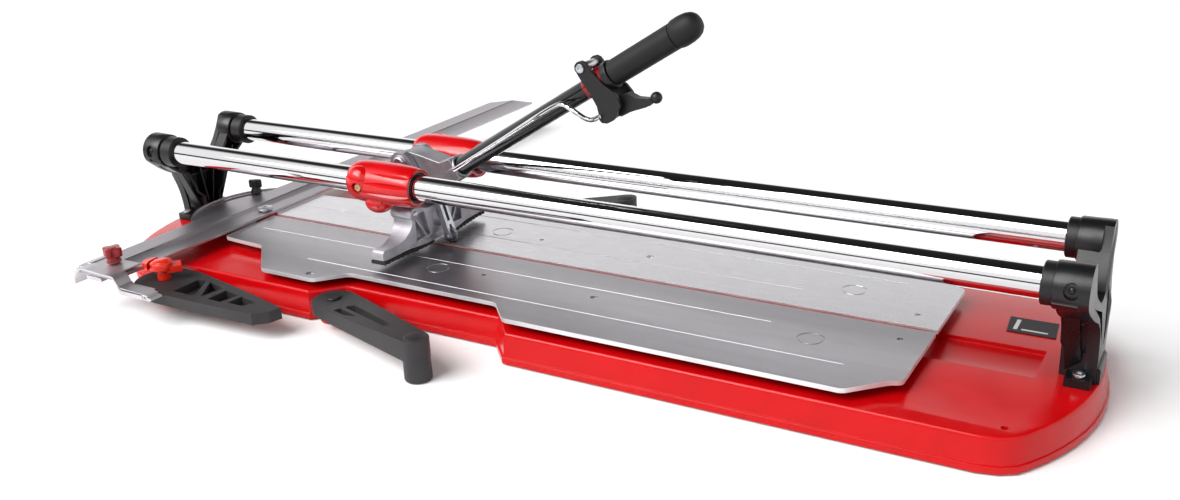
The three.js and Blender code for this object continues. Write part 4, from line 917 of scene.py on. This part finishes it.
low, high = cad("breaker_foot")
x0, x1 = low.x, high.x
middle_x = (x0 + x1) / 2
half = [
    (22, 106), (34, 110), (44, 112), (50, 109), (52, 104), (50, 98), (51, 92), (56, 85),
    (64, 79), (74, 75.5), (86, 74), (92, 75), (98, 75),
    (101, 73), (102, 69), (102, 63), (96, 62), (60, 63.5), (30, 62),
]
outline = [(-y, z) for y, z in half] + [(y, z) for y, z in reversed(half)]
casting = across_x(outline, x0, x1)
oval = moved(post(1, x0 - 2, x1 + 2, sides=32), ALONG_X)
openings = [moved(oval, at(0, 0, 89) @ Matrix.Diagonal((1, 14, 13, 1)))]
near_pocket = [(-45, 102), (-30, 104), (-20, 72), (-46, 70)]
far_pocket = [(30, 104), (45, 102), (46, 70), (20, 72)]
for start, end in ((x1 - 8, x1 + 2), (x0 - 2, x0 + 8)):
    openings += [across_x(near_pocket, start, end), across_x(far_pocket, start, end)]
casting = cut(casting, "DIFFERENCE", *openings)
for v in casting.verts:
    taper = 1 - 0.5 * share((abs(v.co.y) - 36) / 50)
    v.co.x = middle_x + (v.co.x - middle_x) * taper
webs = []
for s in (1, -1):
    web = [(s * 20, 66), (s * 24, 66), (s * 47, 100), (s * 43, 100)][::s]
    webs.append(across_x(web, x1 - 10, x1 - 2))
bosses = [moved(post(8, x0 + 1, x1 - 1, 1.4, 32), at(0, y, 105) @ ALONG_X) for y in (-46, 46)]
stem = moved(post(9, 100, high.z, 1), at(middle_x, 0, 0))
blasted_casting = surface(
    # Shot-blasted aluminium casting: pale, with a coarse pitted skin about 1.5 mm across.
    "blasted_casting", "#98969c", "#c2c0c6", 0.8, 0.4, 0.6, 2.2, 0.45
)
casting = together(casting, stem, *webs, *bosses)
piece("foot_casting", casting, "breaker_foot", blasted_casting, ["breaker_foot"], 1.5, 3)
LUG_Y, LUG_Z = 46, 105
lug_pin = (3.6, x0 - 1.5, x1 + 1.5, 0.6, 28)
lug_pins = [moved(post(*lug_pin), at(0, y, LUG_Z) @ ALONG_X) for y in (-LUG_Y, LUG_Y)]
piece("foot_lug_pins", together(*lug_pins), "breaker_foot", zinc_plate)
for name in ("front_foot_pad", "rear_foot_pad"):
    low, high = cad(name)
    pad = block(low.x, high.x, low.y, high.y, low.z, high.z + 0.6)
    lengthways = [e for e in pad.edges if abs(e.verts[0].co.y - e.verts[1].co.y) > 1]
    bmesh.ops.subdivide_edges(pad, edges=lengthways, cuts=21, use_grid_fill=True)
    for v in pad.verts:
        taper = 1 - 0.36 * share((abs(v.co.y) - 36) / 50)
        scallop = 0.8 * math.cos((abs(v.co.y) - 14) / 4 * math.pi)
        v.co.x = middle_x + (v.co.x - middle_x) * taper + (scallop if v.co.x > middle_x else -scallop)
    piece(name + "_rubber", pad, "breaker_foot", moulded_rubber, [name], 0.6)

# ---- Wheel holder and scoring wheel ----
# A slotted steel bar clamped in the bridge, with a carbide wheel on a short axle at its foot.

low, high = cad("wheel_holder")
LEAN = at(-150, 0, 66) @ Matrix.Rotation(math.radians(-17), 4, "Y") @ at(150, 0, -66)
holder = across_x([(-7, 64.5), (-5.4, 62), (5.4, 62), (7, 64.5), (7, 124), (-7, 124)], low.x, high.x)
wheel_slot = block(low.x - 1, high.x + 1, -2, 2, 55, 79)
bolt_slot = across_x([(-2.6, 84), (2.6, 84), (2.6, 112), (-2.6, 112)], low.x - 1, high.x + 1)
holder = moved(cut(holder, "DIFFERENCE", wheel_slot, bolt_slot), LEAN)
piece("slotted_holder", holder, "carriage", zinc_plate, ["wheel_holder"], 0.6)
low, high = cad("scoring_wheel")
centre = (low + high) / 2
wheel = turned([(2.3, -1.6), (9, -1.6), (10.9, -0.15), (10.9, 0.15), (9, 1.6), (2.3, 1.6), (2.3, -1.6)], 56)
carbide = surface(
    # Sintered carbide, ground on its bevels: a dark, slightly warm grey metal.
    "carbide", "#77757a", "#838187", 1.0, 0.22, 0.34, 1.0, 0.01
)
hub = at(*centre) @ ALONG_Y
piece("cutting_wheel", moved(wheel, hub), "scoring_wheel", carbide, ["scoring_wheel"])
axle = moved(post(2, -8, 8, 0.4, 28), hub)
piece("cutting_axle", axle, "carriage", zinc_plate, ["wheel_axle"])

# ---- Handle ----
# A black tube in a cast crank, with a moulded rubber grip. The crank turns on a pin between
# the bridge's ears.

ROOT = Vector((-182, 0, 123))
HANDLE = Matrix.Translation(ROOT) @ Matrix.Rotation(math.radians(-31), 4, "Y")
PIVOT_U, PIVOT_V = (HANDLE.inverted() @ PIVOT).xz


def on_handle(bm):
    """Puts a shape drawn with the handle's axis along X in its place."""
    return moved(bm, HANDLE)


crank = [
    (PIVOT_U - 11, PIVOT_V + 2), (PIVOT_U - 7, PIVOT_V + 9), (PIVOT_U, PIVOT_V + 11.5),
    (PIVOT_U + 8, PIVOT_V + 9.5),
    (PIVOT_U + 22, PIVOT_V - 2), (50, 16.5), (62, 14.6), (66, 13.5), (66, -13.5), (56, -14),
    (42, -13.5), (33, -4), (22, 3), (PIVOT_U + 8, PIVOT_V - 10), (PIVOT_U - 6, PIVOT_V - 9.5),
]
fork = across_y(crank, -14.2, 14.2)
hollow = [(PIVOT_U + 14, PIVOT_V - 3), (PIVOT_U + 20, PIVOT_V - 4), (44, 11), (42, -4), (30, 4)]
fork_cuts = [across_y(hollow, y, y + 10) for y in (-19, 9)]
fork = cut(fork, "DIFFERENCE", *fork_cuts, moved(post(11.2, 46, 90), ALONG_X))
section = [(11.3, 48), (14.2, 48), (14.6, 50), (14.6, 66), (13.6, 68), (11.3, 68), (11.3, 48)]
crank = on_handle(together(fork, moved(turned(section), ALONG_X)))
piece("handle_crank", crank, "handle", die_cast_aluminium, ["handle_fork"], 1.3, 3)
gloss_black_paint = surface(
    # Gloss black stoved paint on a drawn steel tube: deep, with long clean highlights.
    "gloss_black_paint", "#0c0c0e", "#121214", 0.0, 0.12, 0.2, 3.0, 0.01
)
tube = moved(turned([(8.5, 47), (10.6, 47), (11, 47.5), (11, 318), (8.5, 318), (8.5, 47)], 64), ALONG_X)
piece("handle_shaft", on_handle(tube), "handle", gloss_black_paint, ["handle_tube"])
grip_rubber = surface(
    # Soft black elastomer with a fine matt texture, about 0.8 mm, that kills the shine.
    "grip_rubber", "#0b0a0b", "#121112", 0.0, 0.5, 0.64, 0.9, 0.08, shine=0.35
)
sleeve = [(11.1, 317), (13.6, 317), (14.4, 318), (14.5, 340), (14.5, 402.5), (13.5, 403), (13.5, 404)]
knob = [(15.2, 404.4), (15.9, 407), (16.1, 413), (15.8, 419), (14.8, 424.8), (12.8, 429.6)]
knob += [(9.8, 433), (6, 435), (0, 435.8)]
grip = moved(turned(sleeve + knob, 64), ALONG_X)
piece("rubber_grip", on_handle(grip), "handle", grip_rubber, ["grip"])
low, high = cad("handle_pivot_pin")
bolt_head = [(0, low.y), (6.2, low.y), (7.6, low.y + 1.2), (7.8, low.y + 4), (0, low.y + 4)]
pin = together(
    moved(post(4.9, low.y + 2, high.y - 1, 0.5), ALONG_Y),
    moved(turned(bolt_head, 40), ALONG_Y),
    moved(turned([(0, high.y - 3), (7.8, high.y - 3), (7.6, high.y), (0, high.y + 0.2)], 6), ALONG_Y),
)
pin = moved(pin, at(PIVOT.x, 0, PIVOT.z))
piece("handle_pivot_bolt", pin, "carriage", zinc_plate, ["handle_pivot_pin"])

# ---- Trigger ----
# Two nylon cheeks either side of the tube, held apart by a steel spacer, with a ribbed lever
# between them that pulls the rod.

near_plate = [
    (284.5, 24), (287, 28), (292, 29.4), (297, 28), (300, 24), (301.5, 14),
    (304, 6), (307, -5), (313, -16), (315, -26), (314, -35),
    (306, -39), (303, -42.5), (296, -44.5), (288, -44), (283, -41),
    (281.5, -37), (284.5, -30), (287, -22), (287, -6), (285, 8),
]
bands = []
for start, end in ((286, 292), (308, 316.4)):
    section = [(11.2, start), (15.4, start), (16.2, start + 1), (16.2, end - 1), (15.4, end)]
    bands.append(moved(turned(section + [(11.2, end), (11.2, start)]), ALONG_X))
cheeks = together(across_y(near_plate, -16.6, -11.4), across_y(near_plate, 16.4, 21), *bands)
piece("trigger_cheeks", on_handle(cheeks), "handle", moulded_sleeve, ["trigger_clamp"], 1.3, 3)
spacer = moved(post(5.2, -11.4, 16.4, 0.4, 32), at(293, 0, 21.5) @ ALONG_Y)
bolt_place = at(292, 0, 21.5) @ ALONG_Y
bolt_socket = moved(post(2.6, -20, -17.4, sides=6), bolt_place)
bolt = cut(moved(post(5.0, -18.6, -16.4, 0.7, 32), bolt_place), "DIFFERENCE", bolt_socket)
piece("cheek_spacer", on_handle(together(spacer, bolt)), "handle", zinc_plate)
section = [(11.1, 279), (12.6, 279), (13.2, 280), (13.2, 307), (12.6, 308), (11.1, 308), (11.1, 279)]
collar = moved(turned(section), ALONG_X)
ribs = [block(293.5 + 4 * i, 295 + 4 * i, -6, 6, 10, 15.0) for i in range(4)]
piece("tube_bush", on_handle(together(collar, *ribs)), "handle", deep_red_abs)

top_edge = [(284, -30), (290, -25.5), (312, -23.5), (322, -26.5), (329, -35.5), (340, -42), (344, -43)]
under_edge = [(344, -49), (334, -49.4), (318, -46), (300, -43), (288, -43)]
lever = across_y(top_edge + under_edge, -5.4, 5.4)
windows = (
    [(290, -29), (303, -27.5), (297, -33), (290, -36)],
    [(307, -27.5), (319, -29), (311, -36), (300, -34)],
    [(323, -31), (327, -37.5), (315, -38)],
    [(289, -39), (297, -36.4), (310, -38.6), (310, -41.4), (290, -41)],
)
gaps = [across_y(points, y, y + 7) for y in (-9, 2) for points in windows]
lever = cut(lever, "DIFFERENCE", *gaps)
knob = ball(6.5, at(348, 0, -45.6))
neck = moved(turned([(0, 336), (4.2, 336), (3.4, 343), (0, 346)], 32), at(0, 0, -45.8) @ ALONG_X)
axle = moved(post(3, -11, 11, 0.5, 28), at(297, 0, -34) @ ALONG_Y)
lever = together(lever, knob, neck, axle)
piece("squeeze_lever", on_handle(lever), "thumb_lever", moulded_sleeve, ["thumb_lever"], 0.8, 3)

# ---- Push rod ----
# A bent chromed wire that runs down the front of the tube to the crank.

low, high = cad("push_rod")
rod_y = (low.y + high.y) / 2
path = [(70, -1), (150, 0), (244, 1), (251, -1), (256, -7), (266, -23)]
path += [(270, -28.5), (276, -32.5), (286, -33.5)]
route = bpy.data.curves.new("rod_route", "CURVE")
route.dimensions = "3D"
route.bevel_depth = 2.8
route.bevel_resolution = 4
route.resolution_u = 6
spline = route.splines.new("BEZIER")
spline.bezier_points.add(len(path) - 1)
for point, (u, v) in zip(spline.bezier_points, path):
    point.co = (u, rod_y, v)
    point.handle_left_type = "AUTO"
    point.handle_right_type = "AUTO"
route.use_fill_caps = True
wire = bpy.data.objects.new("rod_route", route)
bpy.context.scene.collection.objects.link(wire)
bpy.context.view_layer.update()
rod = bmesh.new()
rod.from_mesh(wire.evaluated_get(bpy.context.evaluated_depsgraph_get()).to_mesh())
bpy.data.objects.remove(wire)
bpy.data.curves.remove(route)
eye = moved(post(2.3, rod_y, -17, 0.4, 24), at(285.5, 0, -33.5) @ ALONG_Y)
piece("pull_rod", on_handle(together(rod, eye)), "push_rod", hard_chrome, ["push_rod"])

# ---- Studio ----
# A plain pale floor, a soft pale surround that is dark overhead, one softbox and a broad lamp.

pale_floor = surface(
    # Matt white paper sweep.
    "pale_floor", "#f4f4f4", "#f6f6f6", 0.0, 0.9, 1.0, 5.0, 0.0
)
floor_mesh = bpy.data.meshes.new("floor")
ground = bmesh.new()
bmesh.ops.create_grid(ground, x_segments=1, y_segments=1, size=14)
ground.to_mesh(floor_mesh)
ground.free()
floor = bpy.data.objects.new("floor", floor_mesh)
floor.data.materials.append(pale_floor)
bpy.context.scene.collection.objects.link(floor)
floor.location.z = -0.0005

world = bpy.data.worlds.new("studio")
bpy.context.scene.world = world
world.use_nodes = True
sky = world.node_tree
facing = add(sky, "ShaderNodeTexCoord", {})
axes = add(sky, "ShaderNodeSeparateXYZ", {}, {"Vector": facing.outputs["Generated"]})


def band_of_sky(stops):
    """Brightness from the horizon (0) up to overhead (1)."""
    shade = add(sky, "ShaderNodeValToRGB", {}, {"Fac": axes.outputs["Z"]})
    ramp = shade.color_ramp
    for element, (position, value) in zip(ramp.elements, (stops[0], stops[-1])):
        element.position = position
        element.color = (value, value, value, 1)
    for position, value in stops[1:-1]:
        ramp.elements.new(position).color = (value, value, value, 1)
    return shade.outputs["Color"]


front_sky = band_of_sky([(0.0, 0.05), (0.12, 0.05), (0.17, 1.5), (0.74, 1.5), (0.84, 0.02), (1.0, 0.02)])
rear_sky = band_of_sky([(0.0, 1.1), (0.3, 2.0), (0.37, 1.5), (0.45, 0.8), (0.55, 0.05), (1.0, 0.02)])
side = add(sky, "ShaderNodeMapRange", {"From Min": -0.12, "From Max": 0.12}, {"Value": axes.outputs["Y"]})
skies = {0: side.outputs["Result"], 6: front_sky, 7: rear_sky}
sky_mix = add(sky, "ShaderNodeMix", {"data_type": "RGBA"}, skies)
sky.links.new(sky_mix.outputs[2], sky.nodes["Background"].inputs["Color"])
sky.nodes["Background"].inputs["Strength"].default_value = 0.8


def softbox(name, place, target, width, height, watts):
    """A rectangular area light that looks at a point."""
    data = bpy.data.lights.new(name, "AREA")
    data.shape = "RECTANGLE"
    data.size = width
    data.size_y = height
    data.energy = watts
    obj = bpy.data.objects.new(name, data)
    obj.location = place
    obj.rotation_euler = (Vector(target) - Vector(place)).to_track_quat("-Z", "Y").to_euler()
    bpy.context.scene.collection.objects.link(obj)


softbox("key", (-1.2, -1.9, 1.6), (0, 0, 0.05), 2.4, 0.7, 26)
overhead = bpy.data.lights.new("overhead", "SUN")
overhead.energy = 2.5
overhead.angle = math.radians(40)
lamp = bpy.data.objects.new("overhead", overhead)
lamp.rotation_euler = (math.radians(34), math.radians(-22), 0)
bpy.context.scene.collection.objects.link(lamp)
bpy.context.scene.view_settings.view_transform = "Standard"

# ---- Camera ----

lens = bpy.data.cameras.new("camera")
lens.lens = 35.68
lens.sensor_width = 36
camera = bpy.data.objects.new("camera", lens)
camera.matrix_world = (
    Matrix.Translation((0.6971, -1.0803, 0.5575))
    @ Matrix.Rotation(math.radians(30.95), 4, "Z")
    @ Matrix.Rotation(math.radians(69.09), 4, "X")
    @ Matrix.Rotation(math.radians(-2.59), 4, "Z")
)
bpy.context.scene.collection.objects.link(camera)
bpy.context.scene.camera = camera
